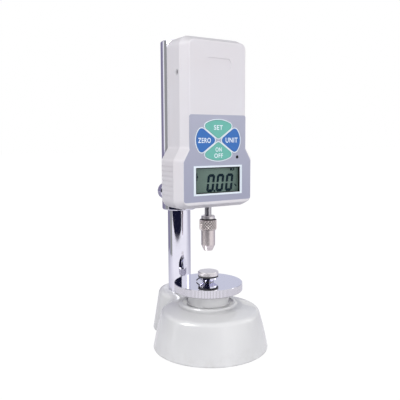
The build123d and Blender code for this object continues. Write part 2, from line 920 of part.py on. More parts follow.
def gauge_screw_places():
    """Where the mounting plate is screwed to the rear cover."""
    return [(x, case_z + z) for x in (-gauge_screw_x, gauge_screw_x) for z in gauge_screw_z]


def case_screw_places():
    """Where the rear cover is screwed to the front cover."""
    places = [(case_lower_screw_x, case_lower_screw_z), (case_upper_screw_x, case_upper_screw_z)]
    return [(side * x, case_z + z) for side in (-1, 1) for x, z in places]


def thumb_recess():
    """The shallow wedge pressed into the upper front, deepest at its top."""
    top = case_z + thumb_top
    half = thumb_half_width
    low = top - thumb_length
    outline = Polygon((-half, low), (half, low), (half, top), (-half, top), align=None)
    outline = fillet(outline.vertices(), thumb_round)
    prism = sheet(outline, front_y - over, front_y + thumb_depth)
    slope = math.degrees(math.atan2(thumb_depth, thumb_length))
    back = Pos(0, front_y + thumb_depth, top) * Rot(slope, 0, 0) * Pos(0, far, 0)
    return prism - back * Box(2 * far, 2 * far, 2 * far)


def grips():
    """The finger grooves on both lower sides."""
    cuts = []
    for side in (-1, 1):
        for step in range(grip_count):
            low = case_z + grip_first + step * grip_pitch - grip_height / 2
            outer = side * (case_lower_half_width + over)
            inner = side * (case_lower_half_width - grip_depth)
            cuts.append(block(min(inner, outer), max(inner, outer), front_y + grip_front,
                              front_y + grip_back, low, low + grip_height))
    return cuts


def case_hollow():
    """The room inside the case."""
    inside = case_outline(case_wall)
    front_face = case_outline(case_wall + front_bevel_in)
    nosing = loft([facing(bevel_y) * inside, facing(inner_front_y) * front_face])
    return sheet(inside, bevel_y, inner_back_y) + nosing


def covers():
    form = case_form()
    shell = form - case_hollow() - thumb_recess()
    for cut in grips():
        shell = shell - cut
    front_half = block(-far, far, front_y - over, parting_y, case_z - over, case_top + over)
    rear_half = block(-far, far, parting_y, back_y + over, case_z - over, case_top + over)

    front = shell & front_half
    for x, z in board_posts():
        front = front + rod(board_post_radius, inner_front_y - root, board_front_y, x, z)
    for x, z in case_screw_places():
        front = front + (rod(case_screw_boss_radius, inner_front_y - root, parting_y, x, z) & form)
        hole_end_y = parting_y - case_screw_grip - hole_spare
        front = front - rod(case_screw_radius + bolt_gap, hole_end_y, parting_y + over, x, z)
    front = front - sheet(overlay_outline(), front_y - over, overlay_back_y)
    for outline in key_outlines(slip_gap):
        front = front - sheet(outline, front_y - over, inner_front_y + over)
    front = front - sheet(display_outline(0, 0), front_y - over, inner_front_y + over)
    lens_room = display_outline(lens_margin, lens_margin)
    front = front - sheet(lens_room, inner_front_y - lens_thickness, inner_front_y + over)
    for x, z in board_posts():
        front = front - rod(board_screw_radius + bolt_gap, inner_front_y, board_front_y + over, x, z)
    front = front - rod(lamp_radius + bolt_gap, front_y - over, inner_front_y + over, lamp_x, case_z + lamp_z)
    front = front - post(spindle_bush_radius + bolt_gap, case_z - over, case_z + case_wall + over)
    socket_end_x = -case_upper_half_width + case_wall + over
    front = front - cross_rod(socket_barrel_radius, -case_lower_half_width, socket_end_x,
                              front_y + socket_behind_front, case_z + socket_z)
    nodes["front_cover"] = front

    rear = shell & rear_half
    for x, z in chassis_places():
        rear = rear + rod(chassis_boss_radius, chassis_back_y, inner_back_y + root, x, z)
        rear = rear - rod(chassis_screw_radius + bolt_gap, chassis_back_y - over, inner_back_y, x, z)
    for x, z in gauge_screw_places():
        rear = rear + rod(gauge_boss_radius, chassis_back_y + battery_gap, inner_back_y + root, x, z)
        hole_end_y = back_y - gauge_screw_grip - hole_spare
        rear = rear - rod(gauge_screw_radius + bolt_gap, hole_end_y, back_y + over, x, z)
    for x, z in case_screw_places():
        rear = rear + (rod(case_screw_boss_radius, parting_y, inner_back_y + root, x, z) & form)
        rear = rear - rod(case_screw_radius + slip_gap, parting_y - over, back_y + over, x, z)
        rear = rear - rod(case_screw_head_radius + slip_gap, back_y - case_screw_head, back_y + over, x, z)
    nodes["rear_cover"] = rear

    screws = []
    for x, z in case_screw_places():
        head_end = back_y - case_screw_inset
        head = rod(case_screw_head_radius, back_y - case_screw_head, head_end, x, z)
        shank = rod(case_screw_radius, parting_y - case_screw_grip, back_y - case_screw_head + root, x, z)
        long = cross_half_length
        thin = cross_half_width
        cross = block(x - long, x + long, head_end - cross_depth, back_y, z - thin, z + thin)
        cross = cross + block(x - thin, x + thin, head_end - cross_depth, back_y, z - long, z + long)
        screws.append(head + shank - cross)
    nodes["case_screws"] = group(screws)


# What shows on the front

def front_panel():
    rings = key_outlines(slip_gap + surround_width)
    overlay = sheet(overlay_outline(), front_y, overlay_back_y)
    surround_front = front_y - surround_proud
    surround = fused([sheet(ring, surround_front, overlay_back_y) for ring in rings])
    for ring in rings:
        overlay = overlay - sheet(ring, front_y - over, overlay_back_y + over)
    overlay = overlay - sheet(display_outline(bezel_side, bezel_edge), front_y - over, overlay_back_y + over)
    overlay = overlay - rod(lamp_radius, front_y - over, overlay_back_y + over, lamp_x, case_z + lamp_z)
    nodes["front_overlay"] = overlay

    for hole in key_outlines(slip_gap):
        surround = surround - sheet(hole, surround_front - over, overlay_back_y + over)
    nodes["key_surround"] = surround

    bezel = sheet(display_outline(bezel_side, bezel_edge), front_y - bezel_proud, overlay_back_y)
    nodes["display_bezel"] = bezel - sheet(display_outline(0, 0), front_y - over, overlay_back_y + over)
    lens = sheet(display_outline(lens_margin, lens_margin), inner_front_y - lens_thickness, inner_front_y)
    nodes["display_lens"] = lens
    module = display_outline(module_margin, module_margin)
    nodes["display_module"] = sheet(module, inner_front_y, module_back_y)
    nodes["status_lamp"] = rod(lamp_radius, front_y + lamp_inset, board_front_y, lamp_x, case_z + lamp_z)


def keep_largest(shape):
    """The largest solid of a cut shape."""
    return shape.solids().sort_by(SortBy.VOLUME)[-1]


def keys():
    faces = key_outlines(0)
    flanges = key_outlines(key_flange_rim)
    flange_front = inner_front_y + key_flange_gap
    flange_back = flange_front + key_flange
    switches = []
    for (name, upright, turn), face, flange in zip(key_places(), faces, flanges):
        cap = sheet(face, front_y - key_proud, flange_front + key_root)
        nodes[name] = cap + sheet(flange, flange_front, flange_back)
        angle = math.radians(turn)
        x = -math.sin(angle) * switch_reach
        z = math.cos(angle) * switch_reach + case_z + key_centre
        half = switch_size / 2
        tip_y = flange_back + key_travel + switch_gap
        switches.append(block(x - half, x + half, tip_y, board_front_y, z - half, z + half))
    nodes["key_switches"] = group(switches)


# What the gauge holds inside

def electronics():
    outline = stepped_outline(
        board_lower_half_width, board_upper_half_width, case_z + board_bottom,
        case_z + board_step, case_z + board_step + board_step_height, case_z + board_top)
    board = sheet(outline, board_front_y, board_back_y)
    for x, z in case_screw_places():
        notch = rod(case_screw_boss_radius + slip_gap, board_front_y - over, board_back_y + over, x, z)
        board = board - notch
    screws = []
    for x, z in board_posts():
        board = board - rod(board_screw_radius + slip_gap, board_front_y - over, board_back_y + over, x, z)
        head = rod(board_screw_head_radius, board_back_y, board_back_y + board_screw_head, x, z)
        shank = rod(board_screw_radius, board_front_y - board_screw_grip, board_back_y + root, x, z)
        screws.append(head + shank)
    nodes["main_board"] = board
    nodes["board_screws"] = group(screws)

    low = case_z + battery_bottom
    back = chassis_back_y
    pack = block(battery_left, battery_right, front_y + battery_front, back, low, low + battery_height)
    nodes["battery_pack"] = fillet(pack.edges().filter_by(Axis.Z), battery_round)

    y = front_y + socket_behind_front
    z = case_z + socket_z
    outer_x = -case_upper_half_width
    inner_x = outer_x + case_wall
    half = socket_body_half
    body = block(inner_x, inner_x + socket_body_length, y - half, y + half, z - half, z + half)
    mouth_x = outer_x + socket_inset
    body = body + cross_rod(socket_barrel_radius, mouth_x, inner_x + over, y, z)
    nodes["charging_socket"] = body - cross_rod(socket_bore, mouth_x - over, mouth_x + socket_depth, y, z)


def load_cell():
    low = cell_bottom()
    high = low + cell_length
    half_w = cell_half_width
    half_d = cell_half_depth
    body = block(-half_w, half_w, -half_d, half_d, low, high)
    middle = (low + high) / 2
    slot = block(-cell_slot_half_width, cell_slot_half_width, -half_d - over, half_d + over,
                 middle - cell_slot_half_length, middle + cell_slot_half_length)
    slot = fillet(slot.edges().filter_by(Axis.Y), cell_slot_round)
    body = body - slot
    stud_hole_top = low + spindle_in_cell + spindle_travel + spindle_end_gap
    body = body - post(spindle_radius + running_gap, low - over, stud_hole_top)

    body = body + block(-half_w, half_w, half_d - root, chassis_front_y, high - cell_pad_length, high)
    chassis = block(-chassis_half_width, chassis_half_width, chassis_front_y, chassis_back_y,
                    case_z + chassis_bottom, case_z + chassis_top)
    cell_screws = []
    for below in cell_screw_from_top:
        z = high - below
        hole_end_y = chassis_front_y - cell_screw_length
        hole = rod(cell_screw_radius + bolt_gap, hole_end_y, chassis_back_y + over, 0, z)
        body = body - hole
        chassis = chassis - hole
        head = rod(cell_screw_head_radius, chassis_back_y, chassis_back_y + cell_screw_head, 0, z)
        shank = rod(cell_screw_radius, hole_end_y + hole_spare, chassis_back_y + root, 0, z)
        cell_screws.append(head + shank)
    nodes["load_cell"] = body
    nodes["load_cell_screws"] = group(cell_screws)

    screws = []
    for x, z in chassis_places():
        hole = rod(chassis_screw_radius + slip_gap, chassis_front_y - over, chassis_back_y + over, x, z)
        chassis = chassis - hole
        head = rod(chassis_screw_head_radius, chassis_front_y - chassis_screw_head, chassis_front_y, x, z)
        shank = rod(chassis_screw_radius, chassis_front_y - root, inner_back_y - hole_spare, x, z)
        screws.append(head + shank)
    nodes["chassis"] = chassis
    nodes["chassis_screws"] = group(screws)


# Sleeve, its liners and the saddles that carry the gauge

def sleeve():
    body = tube(sleeve_radius, sleeve_bore, sleeve_z, sleeve_top, 0, column_y)
    body = chamfer(body.edges().group_by(Axis.Z)[-1], sleeve_edge)
    body = chamfer(body.edges().group_by(Axis.Z)[0], sleeve_lip)
    screws = []
    for z in saddle_z:
        height = case_z + z
        hole_end_y = wall_inner_y - sleeve_screw_length - hole_spare
        hole = rod(saddle_screw_radius + bolt_gap, hole_end_y, column_y, 0, height)
        sink = rod_taper(saddle_screw_radius, sleeve_screw_head_radius + bolt_gap,
                         wall_inner_y - sleeve_screw_head, wall_inner_y, 0, height)
        sink = sink + rod(sleeve_screw_head_radius + bolt_gap, wall_inner_y, column_y, 0, height)
        body = body - hole - sink
        head = rod_taper(saddle_screw_radius - bolt_gap, sleeve_screw_head_radius,
                         wall_inner_y - sleeve_screw_head, wall_inner_y, 0, height)
        shank = rod(saddle_screw_radius, wall_inner_y - sleeve_screw_length, wall_inner_y - root, 0, height)
        screws.append(head + shank)
    countersunk_screws.extend(screws)
    lock_height = case_z + lock_z
    body = body - rod(lock_screw_radius + lock_hole_gap, column_y, sleeve_rear_y + over, 0, lock_height)
    nodes["sleeve"] = body

    cap_low = sleeve_top - sleeve_cap_inset - sleeve_cap_thickness
    nodes["sleeve_cap"] = post(sleeve_bore, cap_low, sleeve_top - sleeve_cap_inset, 0, column_y)

    starts = {"lower_liner": (lower_liner_start, lower_liner_length),
              "upper_liner": (upper_liner_start, upper_liner_length)}
    for name, (start, length) in starts.items():
        low = sleeve_z + start
        nodes[name] = tube(sleeve_bore - liner_gap, column_radius + liner_gap, low, low + length, 0, column_y)


def saddles():
    plate = block(-mount_plate_half_width, mount_plate_half_width, back_y, back_y + mount_plate_thickness,
                  case_z + mount_plate_bottom, case_z + mount_plate_top)
    plate_back = back_y + mount_plate_thickness
    gauge_screws = []
    for x, z in gauge_screw_places():
        plate = plate - rod(gauge_screw_radius + slip_gap, back_y - over, plate_back + over, x, z)
        head = rod(gauge_screw_head_radius, plate_back, plate_back + gauge_screw_head, x, z)
        shank = rod(gauge_screw_radius, back_y - gauge_screw_grip, plate_back + root, x, z)
        gauge_screws.append(head + shank)

    saddle_screws = []
    names = ("lower_saddle", "upper_saddle")
    for name, height in zip(names, saddle_z):
        z = case_z + height
        saddle = block(-saddle_half_width, saddle_half_width, plate_back, column_y,
                       z - saddle_height / 2, z + saddle_height / 2)
        saddle = saddle - post(sleeve_radius, z - saddle_height, z + saddle_height, 0, column_y)
        saddle = keep_largest(saddle)
        hole_end_y = wall_inner_y - sleeve_screw_length - hole_spare
        saddle = saddle - rod(saddle_screw_radius + bolt_gap, hole_end_y, column_y, 0, z)
        for x in (-saddle_screw_x, saddle_screw_x):
            hole_end_y = plate_back + saddle_screw_length + hole_spare
            hole = rod(saddle_screw_radius + bolt_gap, back_y - over, hole_end_y, x, z)
            head_end_y = back_y + saddle_screw_head
            sink = rod_taper(saddle_screw_head_radius, saddle_screw_radius, back_y, head_end_y, x, z)
            saddle = saddle - hole
            plate = plate - hole - sink
            head = rod_taper(saddle_screw_head_radius - bolt_gap, saddle_screw_radius - bolt_gap,
                             back_y + bolt_gap, head_end_y, x, z)
            shank = rod(saddle_screw_radius, head_end_y - root, plate_back + saddle_screw_length, x, z)
            saddle_screws.append(head + shank)
        nodes[name] = saddle
    nodes["mounting_plate"] = plate
    nodes["gauge_screws"] = group(gauge_screws)
    nodes["saddle_screws"] = group(countersunk_screws + saddle_screws)


# Lock knob behind the sleeve

def lock():
    z = case_z + lock_z
    boss = rod(lock_boss_radius, column_y, lock_boss_end_y, 0, z)
    boss = boss - post(sleeve_radius, z - far, z + far, 0, column_y)
    nodes["lock_boss"] = boss - rod(lock_screw_radius + running_gap, column_y, lock_boss_end_y + over, 0, z)

    pad_front = column_y + column_radius + lock_pad_gap
    pad_back = pad_front + lock_pad_length
    nodes["lock_pad"] = rod(lock_screw_radius - lock_hole_gap, pad_front, pad_back, 0, z)

    plane = Plane(origin=(0, lock_knob_y, z), x_dir=(-1, 0, 0), z_dir=(0, 1, 0))
    knob = extrude(plane * toothed_disc(lock_knob_radius, lock_knob_tooth_depth, lock_knob_teeth),
                   amount=lock_knob_length)
    wide = lock_knob_radius + over
    narrow = wide - lock_knob_edge
    first_y = lock_knob_y + lock_knob_edge
    last_y = knob_end_y - lock_knob_edge
    trim = rod_taper(narrow, wide, lock_knob_y, first_y, 0, z)
    trim = trim + rod(wide, first_y, last_y, 0, z)
    trim = trim + rod_taper(wide, narrow, last_y, knob_end_y, 0, z)
    shank = rod(lock_screw_radius, pad_back + running_gap, lock_knob_y + over, 0, z)
    nodes["lock_knob"] = (knob & trim) + shank


base_casting()
base_plate()
feet()
column()
handwheel()
lift_screw()
chuck()
spindle()
covers()
front_panel()
keys()
electronics()
load_cell()
sleeve()
saddles()
lock()

# Everything is moved so that the middle of the footprint is the origin.
bell_front_y = -bell_forward - bell_radius
middle_y = (bell_front_y + knob_end_y) / 2
os.makedirs("parts", exist_ok=True)
for node_name, shape in nodes.items():
    export_step(Pos(0, -middle_y, 0) * shape, f"parts/{node_name}.step")
print(len(nodes), "nodes, press axis at Y", round(-middle_y, 4))
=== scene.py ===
import json
import logging
import math
from dataclasses import dataclass
from enum import Enum
from typing import Any, ClassVar, Sequence

import bmesh
import bpy
import numpy as np
from mathutils import Matrix, Vector


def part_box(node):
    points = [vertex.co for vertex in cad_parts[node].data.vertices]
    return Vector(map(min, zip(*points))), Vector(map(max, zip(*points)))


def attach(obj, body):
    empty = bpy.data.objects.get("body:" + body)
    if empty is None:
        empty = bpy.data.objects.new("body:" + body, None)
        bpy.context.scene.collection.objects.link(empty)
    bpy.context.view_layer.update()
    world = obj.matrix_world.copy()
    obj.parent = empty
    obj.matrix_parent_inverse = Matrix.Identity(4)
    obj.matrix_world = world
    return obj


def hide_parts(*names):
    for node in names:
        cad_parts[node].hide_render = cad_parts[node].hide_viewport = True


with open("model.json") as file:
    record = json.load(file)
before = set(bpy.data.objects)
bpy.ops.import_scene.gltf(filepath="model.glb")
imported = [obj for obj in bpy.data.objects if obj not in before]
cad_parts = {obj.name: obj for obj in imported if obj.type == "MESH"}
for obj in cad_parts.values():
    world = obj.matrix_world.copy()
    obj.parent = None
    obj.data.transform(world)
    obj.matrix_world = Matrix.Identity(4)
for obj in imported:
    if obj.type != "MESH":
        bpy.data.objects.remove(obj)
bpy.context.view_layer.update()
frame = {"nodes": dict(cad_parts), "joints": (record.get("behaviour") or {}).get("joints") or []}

MM = 0.001
LOG = logging.getLogger("tester")

Point = tuple[float, float, float]
Flat = tuple[float, float]
Colour = tuple[float, float, float, float]
Sockets = dict[Any, Any]


# Places in the frame

def axis_y(joint: str) -> float:
    """Where the upright axis that a joint turns about stands along Y."""
    return next(entry["pos_m"][1] for entry in frame["joints"] if entry["name"] == joint)


def front_of(node: str) -> float:
    """Where the front of a carried-over node is along Y."""
    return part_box(node)[0].y


PRESS_Y = axis_y("handwheel_turn")
COLUMN_Y = axis_y("head_swing")


# Shader expressions

class Value:
    """A number that varies over a surface: one output socket, with arithmetic."""

    def __init__(self, tree: "Tree", socket: bpy.types.NodeSocket) -> None:
        """Wraps a socket.

        Args:
            tree: The tree that the socket belongs to.
            socket: The output socket to wrap.
        """
        self.tree = tree
        self.socket = socket

    def _math(self, operation: str, first: Any, second: Any = None, clamp: bool = False) -> "Value":
        """Adds one Math node.

        Args:
            operation: The node's operation.
            first: Its first value.
            second: Its second value, where it has one.
            clamp: Whether the result is kept between 0 and 1.

        Returns:
            The node's result.
        """
        sockets = {0: first} if second is None else {0: first, 1: second}
        node = self.tree.node("ShaderNodeMath", {"operation": operation, "use_clamp": clamp}, sockets)
        return Value(self.tree, node.outputs[0])

    def __add__(self, other: Any) -> "Value":
        """Adds a number or a value."""
        return self._math("ADD", self, other)

    def __radd__(self, other: Any) -> "Value":
        """Adds to a number."""
        return self._math("ADD", other, self)

    def __sub__(self, other: Any) -> "Value":
        """Takes a number or a value away."""
        return self._math("SUBTRACT", self, other)

    def __rsub__(self, other: Any) -> "Value":
        """Takes this away from a number."""
        return self._math("SUBTRACT", other, self)

    def __mul__(self, other: Any) -> "Value":
        """Multiplies by a number or a value."""
        return self._math("MULTIPLY", self, other)

    def __rmul__(self, other: Any) -> "Value":
        """Multiplies a number."""
        return self._math("MULTIPLY", other, self)

    def __pow__(self, other: Any) -> "Value":
        """Raises to a power."""
        return self._math("POWER", self, other)

    def __rpow__(self, other: Any) -> "Value":
        """Raises a number to this power."""
        return self._math("POWER", other, self)

    def __gt__(self, other: Any) -> "Value":
        """Is 1 where this is the greater, and 0 elsewhere."""
        return self._math("GREATER_THAN", self, other)

    def __lt__(self, other: Any) -> "Value":
        """Is 1 where this is the less, and 0 elsewhere."""
        return self._math("LESS_THAN", self, other)

    def sine(self) -> "Value":
        """The sine."""
        return self._math("SINE", self)

    def within(self, low: float, high: float) -> "Value":
        """Stretches a range onto 0 to 1 and keeps it there.

        Args:
            low: What becomes 0.
            high: What becomes 1.

        Returns:
            The stretched value.
        """
        scale = 1.0 / (high - low)
        return self._math("MULTIPLY", self - low, scale, clamp=True)


class Tree:
    """The nodes of one material or of the world."""

    def __init__(self, tree: bpy.types.NodeTree) -> None:
        """Takes a tree and empties it.

        Args:
            tree: The node tree of the material or of the world.
        """
        self.tree = tree
        self.tree.nodes.clear()

    def node(self, kind: str, settings: dict[str, Any] | None = None,
             sockets: Sockets | None = None) -> bpy.types.Node:
        """Adds one node.

        Args:
            kind: The node's type.
            settings: What is set on the node itself, before its sockets.
            sockets: Values or links for its inputs, by name or number.

        Returns:
            The node.
        """
        made = self.tree.nodes.new(kind)
        for key, value in (settings or {}).items():
            setattr(made, key, value)
        for key, value in (sockets or {}).items():
            if isinstance(value, Value):
                value = value.socket
            if isinstance(value, bpy.types.NodeSocket):
                self.tree.links.new(value, made.inputs[key])
            else:
                made.inputs[key].default_value = value
        return made

    def ray(self, kind: str) -> Value:
        """Is 1 for the rays of one kind, and 0 for all others."""
        return Value(self, self.node("ShaderNodeLightPath").outputs[f"Is {kind} Ray"])

    def seen(self) -> Value:
        """Is 1 where the camera looks, also by a mirror or through a pane, and 0 for other light."""
        return (self.ray("Camera") + self.ray("Glossy") + self.ray("Transmission")).within(0.0, 1.0)


class Shader(Tree):
    """One node material, from its first node to its output."""

    def __init__(self, name: str) -> None:
        """Starts an empty material.

        Args:
            name: The material's name.
        """
        self.material = bpy.data.materials.new(name)
        self.material.use_nodes = True
        super().__init__(self.material.node_tree)
        self.place = self.node("ShaderNodeTexCoord").outputs["Object"]

    def noise(self, scale: float, detail: float = 2.0, stretch: Point = (1, 1, 1),
              rough: float = 0.5) -> Value:
        """A cloudy noise from 0 to 1.

        Args:
            scale: How many features there are in a metre.
            detail: How many octaves it has.
            stretch: How its space is scaled along X, Y and Z.
            rough: How strong the finer octaves are.

        Returns:
            The noise.
        """
        space = self.node("ShaderNodeMapping", {"vector_type": "POINT"},
                          {"Vector": self.place, "Scale": stretch}).outputs[0]
        made = self.node("ShaderNodeTexNoise", {"noise_dimensions": "3D"},
                         {"Vector": space, "Scale": scale, "Detail": detail, "Roughness": rough})
        return Value(self, made.outputs["Fac"])

    def _part(self, letter: str, vector: bpy.types.NodeSocket) -> Value:
        """One part of a vector, by its axis."""
        return Value(self, self.node("ShaderNodeSeparateXYZ", None, {0: vector}).outputs[letter])

    def axis(self, letter: str) -> Value:
        """The place along one axis, in metres."""
        return self._part(letter, self.place)

    def facing(self, letter: str) -> Value:
        """How far the surface faces along one axis, from -1 to 1."""
        return self._part(letter, self.node("ShaderNodeNewGeometry").outputs["True Normal"])

    def radius(self, centre_y: float) -> Value:
        """How far a place lies from an upright axis in the middle plane.

        Args:
            centre_y: Where the axis stands along Y.

        Returns:
            The distance, in metres.
        """
        across = self.axis("X")
        along = self.axis("Y") - centre_y
        return (across * across + along * along) ** 0.5

    def mix(self, share: Value, first: Any, second: Any) -> bpy.types.NodeSocket:
        """Mixes two colours.

        Args:
            share: How much of the second colour shows.
            first: The first colour, or its socket.
            second: The second colour, or its socket.

        Returns:
            The mixed colour's socket.
        """
        made = self.node("ShaderNodeMix", {"data_type": "RGBA", "blend_type": "MIX"},
                         {0: share, 6: first, 7: second})
        return made.outputs[2]

    def bump(self, height: Value, depth: float, strength: float = 1.0) -> bpy.types.NodeSocket:
        """Turns a height into a normal.

        Args:
            height: The height, from 0 to 1.
            depth: The real depth of that range, in metres.
            strength: The share of the effect that shows.

        Returns:
            The normal's socket.
        """
        made = self.node("ShaderNodeBump", None,
                         {"Height": height, "Distance": depth, "Strength": strength})
        return made.outputs[0]

    def finish(self, sockets: Sockets) -> bpy.types.Material:
        """Ends the material in one Principled shader.

        Args:
            sockets: The shader's values and links by name.

        Returns:
            The material.
        """
        surface = self.node("ShaderNodeBsdfPrincipled", None, sockets)
        self.node("ShaderNodeOutputMaterial", None, {"Surface": surface.outputs[0]})
        return self.material


def rgb(red: float, green: float, blue: float) -> Colour:
    """A display colour from 0 to 255, as the linear colour that Blender wants.

    Args:
        red: The red level.
        green: The green level.
        blue: The blue level.

    Returns:
        The linear colour, fully opaque.
    """
    def linear(level: float) -> float:
        """One channel."""
        share = level / 255.0
        return share / 12.92 if share <= 0.04045 else ((share + 0.055) / 1.055) ** 2.4
    return linear(red), linear(green), linear(blue), 1.0


def shade(colour: Colour, share: float) -> Colour:
    """Makes a colour darker or lighter.

    Args:
        colour: The colour.
        share: The share of its light that is left.

    Returns:
        The new colour, no lighter than white and fully opaque.
    """
    red, green, blue = (min(1.0, channel * share) for channel in colour[:3])
    return red, green, blue, 1.0


# Finishes

@dataclass(frozen=True)
class Finish:
    """What every finish has: a name, a colour and a surface."""

    name: str
    colour: Colour

    def surface(self, shader: Shader) -> Sockets:
        """Works the surface out.

        Args:
            shader: The material under construction.

        Returns:
            The Principled shader's values and links by name.
        """
        raise NotImplementedError

    def material(self) -> bpy.types.Material:
        """Builds the material."""
        shader = Shader(self.name)
        return shader.finish(self.surface(shader))


@dataclass(frozen=True)
class Enamel(Finish):
    """Sprayed enamel on a casting: a soft orange peel, slight clouding and dust round its foot."""

    rough: float = 0.34
    coat: float = 0.85
    coat_rough: float = 0.09
    peel: float = 0.1 * MM
    dust: Colour = rgb(186, 184, 180)
    dusty_below: float = 12.0 * MM
    dustiest_below: float = 1.0 * MM

    def surface(self, shader: Shader) -> Sockets:
        """Works out the clouds, the dust and the orange peel.

        Args:
            shader: The material under construction.

        Returns:
            The Principled shader's values and links by name.
        """
        cloud = shader.noise(28, detail=3).within(0.35, 0.75)
        grime = shader.noise(160, detail=4, rough=0.6)
        low = 1 - shader.axis("Z").within(self.dustiest_below, self.dusty_below)
        clouded = shader.mix(cloud, self.colour, shade(self.colour, 0.93))
        peel = shader.noise(900) * 0.35 + shader.noise(60, detail=1) * 0.65
        return {
            "Base Color": shader.mix(low * grime.within(0.45, 0.75) * 0.35, clouded, self.dust),
            "Roughness": self.rough + grime.within(0.3, 0.8) * 0.1,
            "Coat Weight": self.coat, "Coat Roughness": self.coat_rough,
            "Normal": shader.bump(peel, self.peel, 0.6)}


@dataclass(frozen=True)
class Chrome(Finish):
    """Polished chrome plate, with faint smears and hair marks."""

    rough: float = 0.045
    marks: float = 0.05
    grain: Point = (1.0, 1.0, 0.02)
    hair_depth: float = 0.002 * MM

    @staticmethod
    def smear(shader: Shader) -> Value:
        """The smears, from 0 to 1."""
        return shader.noise(45, detail=4, rough=0.65).within(0.45, 0.75)

    def hair(self, shader: Shader) -> Value:
        """The hair marks, from 0 to 1."""
        return shader.noise(3800, detail=1, stretch=self.grain).within(0.55, 0.8)

    def surface(self, shader: Shader) -> Sockets:
        """Works out the smears and the hair marks.

        Args:
            shader: The material under construction.

        Returns:
            The Principled shader's values and links by name.
        """
        smear = self.smear(shader)
        hair = self.hair(shader)
        return {
            "Base Color": shader.mix(smear, self.colour, shade(self.colour, 0.94)), "Metallic": 1.0,
            "Roughness": self.rough + smear * self.marks + hair * 0.02,
            "Normal": shader.bump(hair, self.hair_depth, 0.5)}


@dataclass(frozen=True)
class WheelChrome(Chrome):
    """The handwheel's chrome, thinner and duller over the teeth of its rim, and darkened between the teeth
    with painted shade.
    """

    rim: Colour = rgb(238, 236, 243)
    root: float = 26.33 * MM
    crest: float = 26.55 * MM

    def surface(self, shader: Shader) -> Sockets:
        """Works out the polished faces, and the rim that is darker between its teeth, where painted shade
        stands for the shade in the grooves.

        Args:
            shader: The material under construction.

        Returns:
            The Principled shader's values and links by name.
        """
        side = 1 - shader.facing("Z").within(0.4, 0.9)
        # Painted shade: the rim's colour is darkened between its teeth, where the grooves lie in shade.
        unshaded_crest = shader.radius(PRESS_Y).within(self.root, self.crest)
        rim = shader.mix(unshaded_crest, shade(self.rim, 0.45), self.rim)
        return {
            "Base Color": shader.mix(side, self.colour, rim), "Metallic": 1.0,
            "Roughness": self.rough + self.smear(shader) * self.marks + side * 0.1,
            "Normal": shader.bump(self.hair(shader), self.hair_depth, 0.5)}


@dataclass(frozen=True)
class TurnedMetal(Finish):
    """Turned or drawn metal with fine tool marks along one way."""

    rough: float = 0.24
    grain: Point = (1.0, 1.0, 24.0)
    depth: float = 0.006 * MM
    stain: float = 0.12

    def surface(self, shader: Shader) -> Sockets:
        """Works out the tool marks and the stains.

        Args:
            shader: The material under construction.

        Returns:
            The Principled shader's values and links by name.
        """
        lines = shader.noise(700, detail=3, stretch=self.grain, rough=0.7)
        cloud = shader.noise(140, detail=3).within(0.4, 0.8)
        dark = shade(self.colour, 1 - self.stain)
        marked = shader.mix(lines.within(0.35, 0.7), dark, shade(self.colour, 1.06))
        return {
            "Base Color": shader.mix(cloud * 0.5, marked, dark), "Metallic": 1.0,
            "Roughness": self.rough + lines * 0.14 + cloud * 0.06,
            "Normal": shader.bump(lines, self.depth)}


@dataclass(frozen=True)
class KnurledMetal(TurnedMetal):
    """Turned metal whose knurl grooves are darkened with painted shade and left dull."""

    root: float = 6.30 * MM
    crest: float = 6.70 * MM

    def surface(self, shader: Shader) -> Sockets:
        """Works out the bright ridges and the dull grooves, darkened with painted shade.

        Args:
            shader: The material under construction.

        Returns:
            The Principled shader's values and links by name.
        """
        # Painted shade: the grooves of the knurl are painted almost black, 1 on the crests and 0 in the
        # grooves.
        unshaded_crest = shader.radius(PRESS_Y).within(self.root, self.crest)
        lines = shader.noise(900, rough=0.6)
        return {
            "Base Color": shader.mix(unshaded_crest, shade(self.colour, 0.1), self.colour), "Metallic": 1.0,
            "Roughness": self.rough + 0.3 - unshaded_crest * 0.28 + lines * 0.08,
            "Normal": shader.bump(lines, self.depth)}


@dataclass(frozen=True)
class Moulding(Finish):
    """Moulded plastic with a fine spark-eroded texture, and dust on what faces up."""

    rough: float = 0.46
    texture: float = 0.02 * MM
    warm: Colour = rgb(226, 221, 224)
    dusty: Colour = rgb(196, 194, 197)
    gloss: float = 0.25

    def surface(self, shader: Shader) -> Sockets:
        """Works out the clouds, the texture, the shine of handling and the dust.

        Args:
            shader: The material under construction.

        Returns:
            The Principled shader's values and links by name.
        """
        cloud = shader.noise(22).within(0.35, 0.7)
        fine = shader.noise(2600)
        handling = shader.noise(90, detail=4, rough=0.7).within(0.5, 0.85)
        dust = shader.facing("Z").within(0.3, 0.9) * (0.75 + fine * 0.25)
        plastic = shader.mix(cloud * 0.6, self.colour, self.warm)
        return {
            "Base Color": shader.mix(dust, plastic, self.dusty),
            "Roughness": self.rough + fine * 0.08 - handling * 0.1,
            "Specular IOR Level": self.gloss,
            "Normal": shader.bump(fine, self.texture, 0.8)}


@dataclass(frozen=True)
class Film(Finish):
    """Printed polyester film, slightly pebbled, whose colour deepens towards its foot."""

    rough: float = 0.38
    deep: Colour = rgb(160, 162, 184)
    low: float = 100.0 * MM
    high: float = 180.0 * MM
    pebbles: float = 0.008 * MM

    def surface(self, shader: Shader) -> Sockets:
        """Works out the fade and the pebbles.

        Args:
            shader: The material under construction.

        Returns:
            The Principled shader's values and links by name.
        """
        fade = shader.axis("Z").within(self.low, self.high)
        pebble = shader.noise(1800, detail=1)
        return {
            "Base Color": shader.mix(fade, self.deep, self.colour), "Roughness": self.rough + pebble * 0.08,
            "Normal": shader.bump(pebble, self.pebbles, 0.7)}


